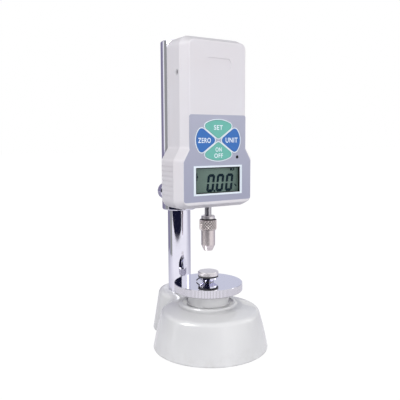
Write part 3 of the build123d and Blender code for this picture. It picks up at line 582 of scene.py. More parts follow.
@dataclass(frozen=True)
class Rubber(Finish):
    """Moulded rubber, dull and dusty."""

    rough: float = 0.72
    dusty: Colour = rgb(92, 90, 92)
    texture: float = 0.02 * MM

    def surface(self, shader: Shader) -> Sockets:
        """Works out the dust and the texture.

        Args:
            shader: The material under construction.

        Returns:
            The Principled shader's values and links by name.
        """
        dust = shader.noise(220, detail=4, rough=0.7).within(0.45, 0.8)
        return {
            "Base Color": shader.mix(dust * 0.3, self.colour, self.dusty),
            "Roughness": self.rough + dust * 0.15,
            "Normal": shader.bump(shader.noise(1600), self.texture)}


@dataclass(frozen=True)
class ClearPane(Finish):
    """A clear pane, seen mostly by its gloss."""

    alpha: float = 0.07
    index: float = 1.49
    gloss: float = 0.15

    def surface(self, shader: Shader) -> Sockets:
        """Works out the smears of fingers.

        Args:
            shader: The material under construction.

        Returns:
            The Principled shader's values and links by name.
        """
        smear = shader.noise(70, detail=3).within(0.5, 0.85)
        return {
            "Base Color": self.colour, "Roughness": 0.05 + smear * 0.08, "Alpha": self.alpha + smear * 0.02,
            "IOR": self.index, "Specular IOR Level": self.gloss}


@dataclass(frozen=True)
class Panel(Finish):
    """The reflecting back of a liquid crystal display, lighter to its middle and darkened towards its sides
    with painted shade.
    """

    # The colour at the sides, which is painted shade.
    edge: Colour = rgb(84, 104, 96)
    half_width: float = 22.0 * MM
    texture: float = 0.004 * MM

    def surface(self, shader: Shader) -> Sockets:
        """Works out the painted shade that darkens it towards the sides, and the grain.

        Args:
            shader: The material under construction.

        Returns:
            The Principled shader's values and links by name.
        """
        side = shader.axis("X")
        # Painted shade: darker towards the left and right sides of the window.
        away = (side * side).within(0.0, self.half_width ** 2)
        grain = shader.noise(5200, detail=1)
        return {
            "Base Color": shader.mix(away * 0.7 + grain * 0.12, self.colour, self.edge),
            "Roughness": 0.42 + grain * 0.1, "Normal": shader.bump(grain, self.texture, 0.5)}


@dataclass(frozen=True)
class Print(Finish):
    """A thin printed or moulded colour, with slight unevenness in its ink."""

    rough: float = 0.36
    gloss: float = 0.5
    texture: float = 0.006 * MM

    def surface(self, shader: Shader) -> Sockets:
        """Works out the uneven ink.

        Args:
            shader: The material under construction.

        Returns:
            The Principled shader's values and links by name.
        """
        ink = shader.noise(1400)
        patch = shader.noise(120).within(0.4, 0.7)
        return {
            "Base Color": shader.mix(ink * 0.25 + patch * 0.2, self.colour, shade(self.colour, 0.9)),
            "Roughness": self.rough + ink * 0.08, "Specular IOR Level": self.gloss,
            "Normal": shader.bump(ink, self.texture, 0.6)}


@dataclass(frozen=True)
class Laminate(Finish):
    """A circuit board: solder mask over copper tracks."""

    track: Colour = rgb(44, 128, 76)
    across: float = 2200.0
    upward: float = 1700.0
    thickness: float = 0.03 * MM

    def surface(self, shader: Shader) -> Sockets:
        """Works out the tracks, where two sets of lanes cross.

        Args:
            shader: The material under construction.

        Returns:
            The Principled shader's values and links by name.
        """
        lanes = (shader.axis("X") * self.across).sine() + (shader.axis("Z") * self.upward).sine()
        tracks = (lanes > 0.9) * (shader.noise(110, detail=0) > 0.5)
        return {
            "Base Color": shader.mix(tracks * 0.8, self.colour, self.track),
            "Roughness": 0.34 + tracks * 0.08, "Normal": shader.bump(tracks, self.thickness)}


@dataclass(frozen=True)
class Zinc(Finish):
    """Zinc-plated sheet with a cloudy bloom."""

    rough: float = 0.34
    metal: float = 0.9
    bloomed: Colour = rgb(196, 192, 176)
    grain: Point = (1.0, 1.0, 0.05)
    depth: float = 0.006 * MM

    def surface(self, shader: Shader) -> Sockets:
        """Works out the bloom and the rolling marks.

        Args:
            shader: The material under construction.

        Returns:
            The Principled shader's values and links by name.
        """
        bloom = shader.noise(85, detail=3, rough=0.6).within(0.35, 0.75)
        lines = shader.noise(420, stretch=self.grain, rough=0.6)
        return {
            "Base Color": shader.mix(bloom, self.colour, self.bloomed), "Metallic": self.metal,
            "Roughness": self.rough + bloom * 0.12 + lines * 0.08,
            "Normal": shader.bump(lines, self.depth)}


class Coat(Enum):
    """The finishes by name."""

    CASTING = Enamel("cast_enamel", rgb(226, 226, 227))
    CHROME = Chrome("chrome_plate", rgb(232, 231, 242))
    WHEEL = WheelChrome("chrome_wheel", rgb(230, 230, 240), rough=0.05, grain=(1.0, 1.0, 1.0))
    NICKEL = TurnedMetal("satin_nickel", rgb(224, 214, 214), rough=0.2)
    KNURL = KnurledMetal("knurled_nickel", rgb(255, 244, 242))
    STEEL = TurnedMetal("ground_steel", rgb(190, 188, 192), rough=0.15)
    CAP = TurnedMetal("faced_steel", rgb(226, 222, 223), rough=0.22, grain=(1.0, 1.0, 1.0), stain=0.06)
    DARK_STEEL = TurnedMetal("black_oxide", rgb(74, 72, 74), rough=0.34)
    BRASS = TurnedMetal("turned_brass", rgb(202, 164, 92), rough=0.22)
    ALUMINIUM = TurnedMetal("blasted_aluminium", rgb(190, 191, 196), rough=0.42, grain=(1.0, 1.0, 1.0))
    ZINC = Zinc("zinc_plate", rgb(178, 180, 184))
    CASE = Moulding("case_moulding", rgb(228, 226, 231))
    CAP_PLASTIC = Moulding("cap_moulding", rgb(206, 206, 210), warm=rgb(198, 196, 198))
    LINER = Moulding("liner_moulding", rgb(212, 208, 200), warm=rgb(206, 200, 190))
    OVERLAY = Film("overlay_film", rgb(178, 180, 198))
    GREEN = Print("key_green", rgb(110, 188, 175))
    BLUE = Print("key_blue", rgb(52, 112, 188))
    WHITE = Print("white_print", rgb(236, 246, 254), rough=0.3)
    LENS = ClearPane("clear_pane", rgb(60, 66, 66))
    DISPLAY = Panel("display_panel", rgb(118, 142, 132))
    INK = Print("display_ink", rgb(6, 30, 42), rough=0.5, gloss=0.08)
    LAMP = Print("lamp_window", rgb(14, 14, 18), rough=0.6, gloss=0.1)
    BLACK = Print("black_moulding", rgb(26, 26, 30), rough=0.4)
    RUBBER = Rubber("black_rubber", rgb(30, 30, 32))
    BOARD = Laminate("board_laminate", rgb(24, 92, 52))
    WRAP = Print("battery_wrap", rgb(40, 84, 160), rough=0.28)


class Wardrobe:
    """Builds each finish once and hands it out."""

    def __init__(self) -> None:
        """Starts empty."""
        self._made: dict[Coat, bpy.types.Material] = {}

    def get(self, coat: Coat) -> bpy.types.Material:
        """Hands out the material of a finish, built when it is first asked for.

        Args:
            coat: The finish.

        Returns:
            Its material.
        """
        if coat not in self._made:
            self._made[coat] = coat.value.material()
        return self._made[coat]


WARDROBE = Wardrobe()


# Mesh helpers

def placed(name: str, data: bpy.types.ID) -> bpy.types.Object:
    """Makes an object and puts it in the scene.

    Args:
        name: The object's name.
        data: Its mesh, curve, lamp or camera.

    Returns:
        The object.
    """
    made = bpy.data.objects.new(name, data)
    bpy.context.scene.collection.objects.link(made)
    return made


def smooth(piece: bpy.types.Object, angle: float) -> None:
    """Shades faces smooth, and keeps the sharper edges sharp.

    Args:
        piece: The piece.
        angle: The angle in degrees above which an edge stays sharp.
    """
    for face in piece.data.polygons:
        face.use_smooth = True
    piece.data.set_sharp_from_angle(angle=math.radians(angle))


def new_piece(name: str, mesh: bmesh.types.BMesh, coat: Coat,
              smooth_angle: float = 35.0) -> bpy.types.Object:
    """Makes an object from a mesh under construction.

    Args:
        name: The object's name.
        mesh: The mesh, which is freed here.
        coat: Its finish.
        smooth_angle: The angle in degrees below which faces are shaded smooth.

    Returns:
        The object.
    """
    data = bpy.data.meshes.new(name)
    bmesh.ops.recalc_face_normals(mesh, faces=mesh.faces)
    mesh.to_mesh(data)
    mesh.free()
    data.materials.append(WARDROBE.get(coat))
    piece = placed(name, data)
    smooth(piece, smooth_angle)
    return piece


def circle(radius: float, sides: int) -> list[Flat]:
    """Points evenly round a circle.

    Args:
        radius: The circle's radius.
        sides: How many points it has.

    Returns:
        The points about the circle's middle.
    """
    turns = [2 * math.pi * step / sides for step in range(sides)]
    return [(radius * math.cos(turn), radius * math.sin(turn)) for turn in turns]


def rectangle(left: float, bottom: float, right: float, top: float) -> list[Flat]:
    """The corners of a rectangle, in order."""
    return [(left, bottom), (right, bottom), (right, top), (left, top)]


def in_mm(points: Sequence[Flat]) -> list[Flat]:
    """Turns points given in millimetres into metres."""
    return [(x * MM, z * MM) for x, z in points]


def add_bands(mesh: bmesh.types.BMesh, rings: Sequence[Sequence[Point]], closed: bool) -> None:
    """Joins rings of as many points by faces.

    Args:
        mesh: The mesh that the faces are added to.
        rings: The points of each ring, in order.
        closed: Whether the last ring joins the first. Otherwise both are filled.
    """
    grid = [[mesh.verts.new(point) for point in ring] for ring in rings]
    followers = grid[1:] + grid[:1] if closed else grid[1:]
    for first, second in zip(grid, followers):
        for step in range(len(first)):
            after = (step + 1) % len(first)
            mesh.faces.new((first[step], first[after], second[after], second[step]))
    if not closed:
        mesh.faces.new(grid[0])
        mesh.faces.new(list(reversed(grid[-1])))


def add_slab(mesh: bmesh.types.BMesh, outline: Sequence[Flat], front: float, back: float) -> None:
    """Adds a flat piece, drawn in X and Z, between two depths.

    Args:
        mesh: The mesh it joins.
        outline: Its corners, in order.
        front: The depth of its front.
        back: The depth of its back.
    """
    add_bands(mesh, [[(x, depth, z) for x, z in outline] for depth in (front, back)], closed=False)


def add_frame(mesh: bmesh.types.BMesh, outer: Sequence[Flat], inner: Sequence[Flat],
              front: float, back: float) -> None:
    """Adds a flat frame, drawn in X and Z, between two depths.

    Args:
        mesh: The mesh it joins.
        outer: The corners of its outside, in order.
        inner: As many corners of its opening.
        front: The depth of its front.
        back: The depth of its back.
    """
    loops = ((inner, front), (outer, front), (outer, back), (inner, back))
    add_bands(mesh, [[(x, depth, z) for x, z in loop] for loop, depth in loops], closed=True)


def dress(node: str, coat: Coat) -> None:
    """Gives a carried-over node its finish.

    Args:
        node: The node's name.
        coat: Its finish.
    """
    shown = frame["nodes"][node]
    shown.data.materials.clear()
    shown.data.materials.append(WARDROBE.get(coat))
    for face in shown.data.polygons:
        face.material_index = 0
    LOG.info("%s is dressed as %s", node, coat.value.name)


def ride_as(piece: bpy.types.Object, body: str, slot: str, *replaced: str) -> None:
    """Sets a finished piece on its body.

    Args:
        piece: The piece, in its place.
        body: The body that it moves with.
        slot: Not used.
        replaced: The carried-over nodes that it stands for.
    """
    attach(piece, body)
    if replaced:
        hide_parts(*replaced)
    LOG.info("%s rides on %s", piece.name, body)


# Sub-assemblies

@dataclass
class SubAssembly:
    """Carried-over nodes with their finishes, and the pieces that the scene adds to them."""

    COATS: ClassVar[dict[str, Coat]] = {}

    def build(self) -> None:
        """Dresses the carried-over nodes, then adds the pieces."""
        for node, coat in self.COATS.items():
            dress(node, coat)
        self.add_pieces()

    def add_pieces(self) -> None:
        """Adds the scene's own pieces, of which there are none unless a sub-assembly says so."""


@dataclass
class Stand(SubAssembly):
    """The column, its fastening, the base plate and the feet."""

    COATS: ClassVar[dict[str, Coat]] = {
        "column": Coat.CHROME, "column_end_plug": Coat.STEEL, "column_bolt": Coat.DARK_STEEL,
        "base_plate": Coat.ZINC, "base_plate_screws": Coat.DARK_STEEL, "rubber_feet": Coat.RUBBER,
        "wheel_bush": Coat.BRASS, "wheel_thrust_washer": Coat.BRASS, "guide_screw": Coat.DARK_STEEL}


@dataclass
class Casting(SubAssembly):
    """The painted base, with the soft joins that the foundry leaves between bell, lobe and ring.

    A skin follows the distance field of bell, lobe and ring, a paint's thickness proud of the carried-over
    casting, and is joined to a copy of it.
    """

    COATS: ClassVar[dict[str, Coat]] = {"base_casting": Coat.CASTING}

    bell_y: float = PRESS_Y - 3.0 * MM
    foot_radius: float = 44.4 * MM
    foot_z: float = 1.0 * MM
    shoulder_radius: float = 37.3 * MM
    shoulder_z: float = 29.8 * MM
    shoulder_round: float = 4.5 * MM
    roof_radius: float = 25.0 * MM
    roof_z: float = 33.0 * MM
    ring_centre: float = 20.1 * MM
    ring_z: float = 34.7 * MM
    ring_round: float = 1.2 * MM
    ring_slope: float = 30.0
    ring_join: float = 1.3 * MM
    ring_inner: float = 19.2 * MM
    ring_limit: float = 23.5 * MM
    lobe_foot: float = 22.8 * MM
    lobe_head: float = 16.4 * MM
    lobe_head_z: float = 40.0 * MM
    lobe_round: float = 4.0 * MM
    lid_y: float = 24.105 * MM
    lid_z: float = 32.4 * MM
    lid_rise: float = 3.6 / 25.88
    join: float = 9.0 * MM
    proud: float = 0.05 * MM
    skin: float = 1.6 * MM
    skin_foot: float = 0.15 * MM
    column_radius: float = 9.5 * MM
    drill_low: float = 20.0 * MM
    drill_high: float = 50.0 * MM
    drill_sides: int = 128
    smooth_angle: float = 30.0

    # How the skin is sampled. Its rows are one more than a whole number of lining_every.
    rear_turn: float = 34.0
    rear_steps: int = 144
    front_steps: int = 108
    rows: int = 121
    lining_every: int = 8
    ray_foot: float = 15.0 * MM
    ray_near: float = 4.0 * MM
    ray_far: float = 66.0 * MM
    ray_steps: int = 90
    ray_rows: int = 520
    halvings: int = 22
    bend_share: float = 6.0 * MM
    bend_window: int = 8
    slope_step: float = 0.02 * MM

    @staticmethod
    def _rounded(first: np.ndarray, second: np.ndarray, cosine: Any, radius: float) -> np.ndarray:
        """Distance from a solid under two planes whose edge is rounded.

        Args:
            first: Distance from the first plane.
            second: Distance from the second plane.
            cosine: Cosine of the angle between the planes' normals.
            radius: The edge's radius.

        Returns:
            The distance, below zero inside.
        """
        near, far = first + radius, second + radius
        spread = 1.0 - cosine * cosine
        along = (near - cosine * far) / spread
        across = (far - cosine * near) / spread
        arc = np.sqrt(np.maximum(along * near + across * far, 0.0)) - radius
        return np.where((along > 0) & (across > 0), arc, np.maximum(first, second))

    @staticmethod
    def _joined(first: np.ndarray, second: np.ndarray, reach: float) -> np.ndarray:
        """Distance from two solids that run softly into each other.

        Args:
            first: Distance from the first solid.
            second: Distance from the second solid.
            reach: How far from the meeting line the softening begins.

        Returns:
            The distance, below zero inside.
        """
        near = np.maximum(reach - np.abs(first - second), 0.0) / reach
        return np.minimum(first, second) - near * near * reach / 4

    def _bell(self, x: np.ndarray, y: np.ndarray, z: np.ndarray) -> np.ndarray:
        """Distance from the bell: a cone with a rounded shoulder and a low roof.

        Args:
            x: Places along X.
            y: Places along Y.
            z: Places along Z.

        Returns:
            The distances, below zero inside.
        """
        out = np.hypot(x, y - self.bell_y)
        wall = Vector((self.shoulder_z - self.foot_z, self.foot_radius - self.shoulder_radius)).normalized()
        roof = Vector((self.roof_z - self.shoulder_z, self.shoulder_radius - self.roof_radius)).normalized()
        from_wall = (out - self.foot_radius) * wall.x + (z - self.foot_z) * wall.y
        from_roof = (out - self.shoulder_radius) * roof.x + (z - self.shoulder_z) * roof.y
        bell = self._rounded(from_wall, from_roof, wall.dot(roof), self.shoulder_round)
        return np.maximum(bell, z - self.roof_z)

    def _lobe(self, x: np.ndarray, y: np.ndarray, z: np.ndarray) -> np.ndarray:
        """Distance from the lobe: a cone round the column under a lid that rises to the rear.

        Args:
            x: Places along X.
            y: Places along Y.
            z: Places along Z.

        Returns:
            The distances, below zero inside.
        """
        away = np.hypot(x, y - COLUMN_Y)
        side = Vector((self.lobe_head_z - self.foot_z, self.lobe_foot - self.lobe_head)).normalized()
        tilt = math.atan(self.lid_rise)
        from_side = (away - self.lobe_foot) * side.x + (z - self.foot_z) * side.y
        from_lid = (z - self.lid_z) * math.cos(tilt) - (y - self.lid_y) * math.sin(tilt)
        rearward = (y - COLUMN_Y) / np.maximum(away, 1e-9)
        meeting = side.y * math.cos(tilt) - side.x * math.sin(tilt) * rearward
        return self._rounded(from_side, from_lid, meeting, self.lobe_round)

    def _ring(self, x: np.ndarray, y: np.ndarray, z: np.ndarray) -> np.ndarray:
        """Distance from the low ring round the neck.

        Args:
            x: Places along X.
            y: Places along Y.
            z: Places along Z.

        Returns:
            The distances, below zero inside.
        """
        slope = math.radians(self.ring_slope)
        out = np.hypot(x, y - PRESS_Y)
        level = z - self.ring_z + self.ring_round
        from_cone = (out - self.ring_centre) * math.cos(slope) + level * math.sin(slope) - self.ring_round
        ring = self._rounded(from_cone, z - self.ring_z, math.sin(slope), self.ring_round)
        return np.maximum(ring, out - self.ring_limit)

    def _field(self, x: np.ndarray, y: np.ndarray, z: np.ndarray) -> np.ndarray:
        """Distance from the outside of the casting below its neck.

        Args:
            x: Places along X.
            y: Places along Y.
            z: Places along Z.

        Returns:
            The distances, below zero inside.
        """
        body = self._joined(self._bell(x, y, z), self._lobe(x, y, z), self.join)
        return self._joined(body, self._ring(x, y, z), self.ring_join) - self.proud

    def _turns(self) -> np.ndarray:
        """The directions of the skin's sections about the bell's axis.

        Returns:
            The angles in radians, closer together at the lobe.
        """
        rear = math.radians(self.rear_turn)
        behind = np.linspace(-rear, rear, self.rear_steps, endpoint=False)
        before = np.linspace(rear, 2 * math.pi - rear, self.front_steps, endpoint=False)
        return np.concatenate([behind, before]) + math.pi / 2

    def _skin_grid(self) -> np.ndarray:
        """Finds the skin by rays from inside each section.

        Returns:
            Points by section, then by row from the foot to the neck, then by axis.
        """
        turns = self._turns()[:, None, None]
        start_z = self.foot_z + self.skin_foot
        offset = PRESS_Y - self.bell_y
        reach_in = offset * np.sin(turns) + np.sqrt(self.ring_inner ** 2 - (offset * np.cos(turns)) ** 2)
        last = np.arctan2(self.ring_z - start_z, reach_in - self.ray_foot)
        lifts = last * np.linspace(0.0, 1.0, self.ray_rows)[None, :, None]
        steps = np.linspace(self.ray_near, self.ray_far, self.ray_steps)[None, None, :]

        def at(reach: np.ndarray) -> tuple[np.ndarray, np.ndarray, np.ndarray]:
            """The points that far along each ray."""
            out = self.ray_foot + reach * np.cos(lifts)
            return out * np.cos(turns), self.bell_y + out * np.sin(turns), start_z + reach * np.sin(lifts)

        outside = self._field(*at(steps)) > 0
        first = np.argmax(outside, axis=2)[:, :, None]
        high = np.take(steps.ravel(), first)
        low = np.take(steps.ravel(), np.maximum(first - 1, 0))
        for _ in range(self.halvings):
            middle = (low + high) / 2
            out_here = self._field(*at(middle)) > 0
            high = np.where(out_here, middle, high)
            low = np.where(out_here, low, middle)
        return self._even(np.stack([part[:, :, 0] for part in at(low)], axis=-1))

    def _even(self, points: np.ndarray) -> np.ndarray:
        """Spaces each section's points along its line, closer together where it bends.

        Args:
            points: The dense points.

        Returns:
            As many points as the skin has rows, for each section.
        """
        window = self.bend_window
        made = []
        for line in points:
            strides = np.diff(line, axis=0)
            lengths = np.linalg.norm(strides, axis=1)
            ways = strides / np.maximum(lengths[:, None], 1e-12)
            bends = np.linalg.norm(ways[window:] - ways[:-window], axis=1) / window
            spread = lengths + self.bend_share * np.pad(bends, window // 2, mode="edge")
            length = np.concatenate([[0.0], np.cumsum(spread)])
            stops = np.linspace(0.0, length[-1], self.rows)
            made.append(np.stack([np.interp(stops, length, line[:, axis]) for axis in range(3)], axis=-1))
        return np.array(made)

    def _inside(self, points: np.ndarray) -> np.ndarray:
        """Moves points of the skin inwards, square to it, by its thickness.

        Args:
            points: The points.

        Returns:
            The moved points, none below the skin's foot.
        """
        step = self.slope_step
        x, y, z = points[..., 0], points[..., 1], points[..., 2]
        slope = np.stack([self._field(x + step, y, z) - self._field(x - step, y, z),
                          self._field(x, y + step, z) - self._field(x, y - step, z),
                          self._field(x, y, z + step) - self._field(x, y, z - step)], axis=-1)
        slope /= np.linalg.norm(slope, axis=-1, keepdims=True)
        moved = points - slope * self.skin
        moved[..., 2] = np.maximum(moved[..., 2], self.foot_z + self.skin_foot)
        return moved

    def _skin(self) -> bpy.types.Object:
        """Builds the skin, for joining to the casting.

        Returns:
            A closed shell.
        """
        outer = self._skin_grid()
        inner = self._inside(outer[:, ::self.lining_every])[:, ::-1]
        mesh = bmesh.new()
        add_bands(mesh, np.concatenate([outer, inner], axis=1), closed=True)
        return new_piece("casting_skin", mesh, Coat.CASTING)

    def _drill(self) -> bpy.types.Object:
        """Builds the rod that clears the skin out of the column's hole.

        Returns:
            A closed rod.
        """
        outline = [(x, COLUMN_Y + y) for x, y in circle(self.column_radius, self.drill_sides)]
        mesh = bmesh.new()
        ends = (self.drill_low, self.drill_high)
        add_bands(mesh, [[(x, y, z) for x, y in outline] for z in ends], closed=False)
        return new_piece("column_drill", mesh, Coat.CASTING)

    def add_pieces(self) -> None:
        """Joins the skin to a copy of the casting, and drills the column's hole through it."""
        piece = placed("painted_casting", frame["nodes"]["base_casting"].data.copy())
        tools = {"UNION": self._skin(), "DIFFERENCE": self._drill()}
        for operation, tool in tools.items():
            cut = piece.modifiers.new(tool.name, "BOOLEAN")
            cut.operation = operation
            cut.solver = "EXACT"
            cut.object = tool
        worked = piece.evaluated_get(bpy.context.evaluated_depsgraph_get())
        settled = bpy.data.meshes.new_from_object(worked)
        piece.modifiers.clear()
        piece.data = settled
        for tool in tools.values():
            bpy.data.objects.remove(tool)
        smooth(piece, self.smooth_angle)
        ride_as(piece, "base", "cast_paint", "base_casting")


@dataclass
class Lift(SubAssembly):
    """The handwheel and the anvil that it raises."""

    COATS: ClassVar[dict[str, Coat]] = {
        "handwheel": Coat.WHEEL, "lift_nut": Coat.BRASS, "wheel_retaining_ring": Coat.DARK_STEEL,
        "lift_screw": Coat.STEEL, "stop_screw": Coat.DARK_STEEL, "anvil_collar": Coat.CHROME,
        "anvil_ring": Coat.RUBBER, "anvil_cap": Coat.CAP, "anvil_cross_pin": Coat.DARK_STEEL}


@dataclass
class Chuck(SubAssembly):
    """The spindle and the small chuck on its end, with the crossed knurl cut in the chuck's collar."""

    COATS: ClassVar[dict[str, Coat]] = {
        "spindle": Coat.STEEL, "spindle_nut": Coat.CAP, "chuck_arbor": Coat.NICKEL,
        "chuck_collar": Coat.NICKEL, "chuck_shell": Coat.NICKEL, "collet": Coat.DARK_STEEL,
        "spindle_bush": Coat.BRASS}

    radius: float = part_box("chuck_collar")[1].x
    bore: float = 3.25 * MM
    bottom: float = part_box("chuck_collar")[0].z
    top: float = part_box("chuck_collar")[1].z
    bevel: float = 0.6 * MM
    starts: int = 18
    depth: float = 0.5 * MM
    steepness: float = 1.35
    run_out: float = 0.3 * MM
    around: int = 360
    upward: int = 64
    smooth_angle: float = 24.0

    @staticmethod
    def _ridge(place: float) -> float:
        """A saw-tooth from 0 in the groove to 1 on the ridge, once in each whole number."""
        share = place - math.floor(place)
        return 1.0 - abs(2.0 * share - 1.0)

    def _cut(self, turn: float, height: float) -> float:
        """How deep the crossed grooves are at one place.

        Args:
            turn: The place round the collar, from 0 to 1.
            height: The place along Z.

        Returns:
            The depth below the plain collar, which runs out to nothing at the bevels.
        """
        low, high = self.bottom + self.bevel, self.top - self.bevel
        pitch = 2 * math.pi * self.radius / self.starts
        winding, rise = self.starts * turn, (height - low) / pitch
        peak = min(self._ridge(winding + rise), self._ridge(winding - rise))
        end = min(1.0, (height - low) / self.run_out, (high - height) / self.run_out)
        return self.depth * max(0.0, end) * (1.0 - min(1.0, self.steepness * peak))

    def _rings(self) -> list[list[Point]]:
        """Works out the collar's rings, from its bore round the knurl and back to its bore.

        Returns:
            The points of each ring.
        """
        low, high = self.bottom + self.bevel, self.top - self.bevel
        shoulder = self.radius - self.bevel
        heights = [low + (high - low) * step / self.upward for step in range(self.upward + 1)]
        rows = [(self.bore, self.bottom), (shoulder, self.bottom)]
        rows += [(self.radius, height) for height in heights]
        rows += [(shoulder, self.top), (self.bore, self.top)]
        rings = []
        for radius, height in rows:
            ring = []
            for step, (x, y) in enumerate(circle(1.0, self.around)):
                out = radius - self._cut(step / self.around, height)
                ring.append((out * x, PRESS_Y + out * y, height))
            rings.append(ring)
        return rings

    def add_pieces(self) -> None:
        """Builds the collar with its crossed knurl."""
        mesh = bmesh.new()
        add_bands(mesh, self._rings(), closed=True)
        piece = new_piece("knurled_collar", mesh, Coat.KNURL, self.smooth_angle)
        ride_as(piece, "chuck_collar", "nickel_steel", "chuck_collar")


@dataclass
class Carriage(SubAssembly):
    """The sleeve on the column, its linings, its cap and the lock knob."""

    COATS: ClassVar[dict[str, Coat]] = {
        "sleeve": Coat.CHROME, "lower_liner": Coat.LINER, "upper_liner": Coat.LINER,
        "sleeve_cap": Coat.CAP_PLASTIC, "lower_saddle": Coat.ALUMINIUM, "upper_saddle": Coat.ALUMINIUM,
        "saddle_screws": Coat.DARK_STEEL, "mounting_plate": Coat.ZINC, "gauge_screws": Coat.DARK_STEEL,
        "lock_boss": Coat.CHROME, "lock_pad": Coat.BRASS, "lock_knob": Coat.CHROME}


@dataclass
class Gauge(SubAssembly):
    """The force gauge's case, its overlay and what is inside."""

    COATS: ClassVar[dict[str, Coat]] = {
        "front_cover": Coat.CASE, "rear_cover": Coat.CASE, "case_screws": Coat.DARK_STEEL,
        "front_overlay": Coat.OVERLAY, "status_lamp": Coat.LAMP, "charging_socket": Coat.CAP_PLASTIC,
        "chassis": Coat.ZINC, "chassis_screws": Coat.DARK_STEEL, "load_cell": Coat.ALUMINIUM,
        "load_cell_screws": Coat.DARK_STEEL, "main_board": Coat.BOARD, "board_screws": Coat.DARK_STEEL,
        "key_switches": Coat.BLACK, "battery_pack": Coat.WRAP}


@dataclass
class Display(SubAssembly):
    """The display in its white frame, with the numerals and signs that it shows."""

    COATS: ClassVar[dict[str, Coat]] = {
        "display_bezel": Coat.WHITE, "display_lens": Coat.LENS, "display_module": Coat.DISPLAY}

    opening_x: float = 19.45 * MM
    opening_low: float = 121.0 * MM
    opening_high: float = 140.0 * MM
    gasket: float = 0.55 * MM
    gasket_front: float = -25.95 * MM
    lens_front: float = front_of("display_lens")
    panel_front: float = front_of("display_module")
    overlay_front: float = front_of("front_overlay")
    ink: float = 0.05 * MM
    ink_sunk: float = 0.01 * MM

    numeral_low: float = 121.75 * MM
    numeral_height: float = 13.2 * MM
    numeral_width: float = 6.5 * MM
    numeral_places: tuple[float, ...] = (-5.35 * MM, 2.85 * MM, 11.15 * MM)
    stroke: float = 2.05 * MM
    gap: float = 0.06 * MM
    waist: float = 0.8 * MM
    corner: float = 1.5 * MM
    lean: float = 0.13
    dot: float = 1.5 * MM
    dot_left: float = 0.85 * MM

    # A bar of the level is given by its bottom, top and right end, in millimetres. The outlines of the other
    # signs are in millimetres too, about their own middles.
    level_left: float = -18.4
    level_bars: tuple[Point, ...] = ((130.4, 132.3, -16.9), (132.5, 134.0, -16.4), (134.2, 136.0, -16.9))
    cell: tuple[Flat, ...] = ((-2.0, 1.0), (1.2, 1.0), (1.9, 0.5), (1.9, -0.5), (1.2, -1.0), (-2.0, -1.0))
    cell_hole: Flat = (0.62, 0.434)
    cell_place: Flat = (14.0 * MM, 138.1 * MM)
    arrow: tuple[Flat, ...] = ((-0.8, 0.0), (0.6, 0.75), (0.6, -0.75))
    arrow_place: Flat = (13.0 * MM, 138.1 * MM)
    tick: tuple[Flat, ...] = ((-1.6, 1.0), (-0.5, 1.0), (1.5, -0.9), (0.2, -0.9))
    tick_place: Flat = (17.0 * MM, 125.9 * MM)

    window_radius: float = 0.9 * MM
    window_print: float = 0.3 * MM
    window_sides: int = 32

    def _leaning(self, shape: Sequence[Flat], middle: float, height: float) -> list[Flat]:
        """Puts an outline in its place, leaning as the numerals do.

        Args:
            shape: Its corners about its own middle.
            middle: Where its middle is along X.
            height: Where its middle is along Z.

        Returns:
            The corners in their places.
        """
        return [(middle + x + self.lean * z, height + z) for x, z in shape]

    def _mark(self, mesh: bmesh.types.BMesh, shape: Sequence[Flat], middle: float, height: float) -> None:
        """Adds one inked shape.

        Args:
            mesh: The mesh it joins.
            shape: Its corners about its own middle.
            middle: Where its middle is along X.
            height: Where its middle is along Z.
        """
        outline = self._leaning(shape, middle, height)
        add_slab(mesh, outline, self.panel_front - self.ink, self.panel_front + self.ink_sunk)

    def _numeral(self, mesh: bmesh.types.BMesh, middle: float) -> None:
        """Draws a nought in six segments: a cap and two sides, above and below.

        Args:
            mesh: The mesh it joins.
            middle: Its middle along X.
        """
        half, tall = self.numeral_width / 2, self.numeral_height / 2
        stroke, gap, waist = self.stroke, self.gap, self.waist / 2
        cut, bevel = self.corner, self.corner / 2
        cap_end = [(-half + stroke + gap, tall - stroke), (-half + bevel + gap, tall - bevel),
                   (-half + cut, tall)]
        cap = cap_end + [(-x, z) for x, z in reversed(cap_end)]
        side = [(-half, tall - cut), (-half + bevel, tall - bevel - gap),
                (-half + stroke, tall - stroke - gap), (-half + stroke, waist + 0.2 * stroke),
                (-half + 0.5 * stroke, waist), (-half, waist + 0.1 * stroke)]
        for shape in (cap, side, [(-x, z) for x, z in side]):
            for up in (1, -1):
                self._mark(mesh, [(x, up * z) for x, z in shape], middle, self.numeral_low + tall)

    def numerals(self) -> None:
        """Builds the noughts and the point between the first two."""
        mesh = bmesh.new()
        for middle in self.numeral_places:
            self._numeral(mesh, middle)
        half = self.dot / 2
        between = (self.numeral_places[0] + self.numeral_places[1]) / 2 - self.dot_left
        self._mark(mesh, rectangle(-half, -half, half, half), between, self.numeral_low + half)
        ride_as(new_piece("display_numerals", mesh, Coat.INK), "head", "display_panel")

    def signs(self) -> None:
        """Builds the small signs: a level of three bars, a cell with an arrow, and a tick."""
        mesh = bmesh.new()
        for low, high, right in self.level_bars:
            wide, tall = (right - self.level_left) / 2, (high - low) / 2
            bar = in_mm(rectangle(-wide, -tall, wide, tall))
            self._mark(mesh, bar, (right - wide) * MM, (low + high) / 2 * MM)
        hole_x, hole_z = self.cell_hole
        outer = in_mm(self.cell)
        inner = [(x * hole_x, z * hole_z) for x, z in outer]
        add_frame(mesh, self._leaning(outer, *self.cell_place), self._leaning(inner, *self.cell_place),
                  self.panel_front - self.ink, self.panel_front + self.ink_sunk)
        self._mark(mesh, in_mm(self.arrow), *self.arrow_place)
        self._mark(mesh, in_mm(self.tick), *self.tick_place)
        ride_as(new_piece("display_signs", mesh, Coat.INK), "head", "display_panel")

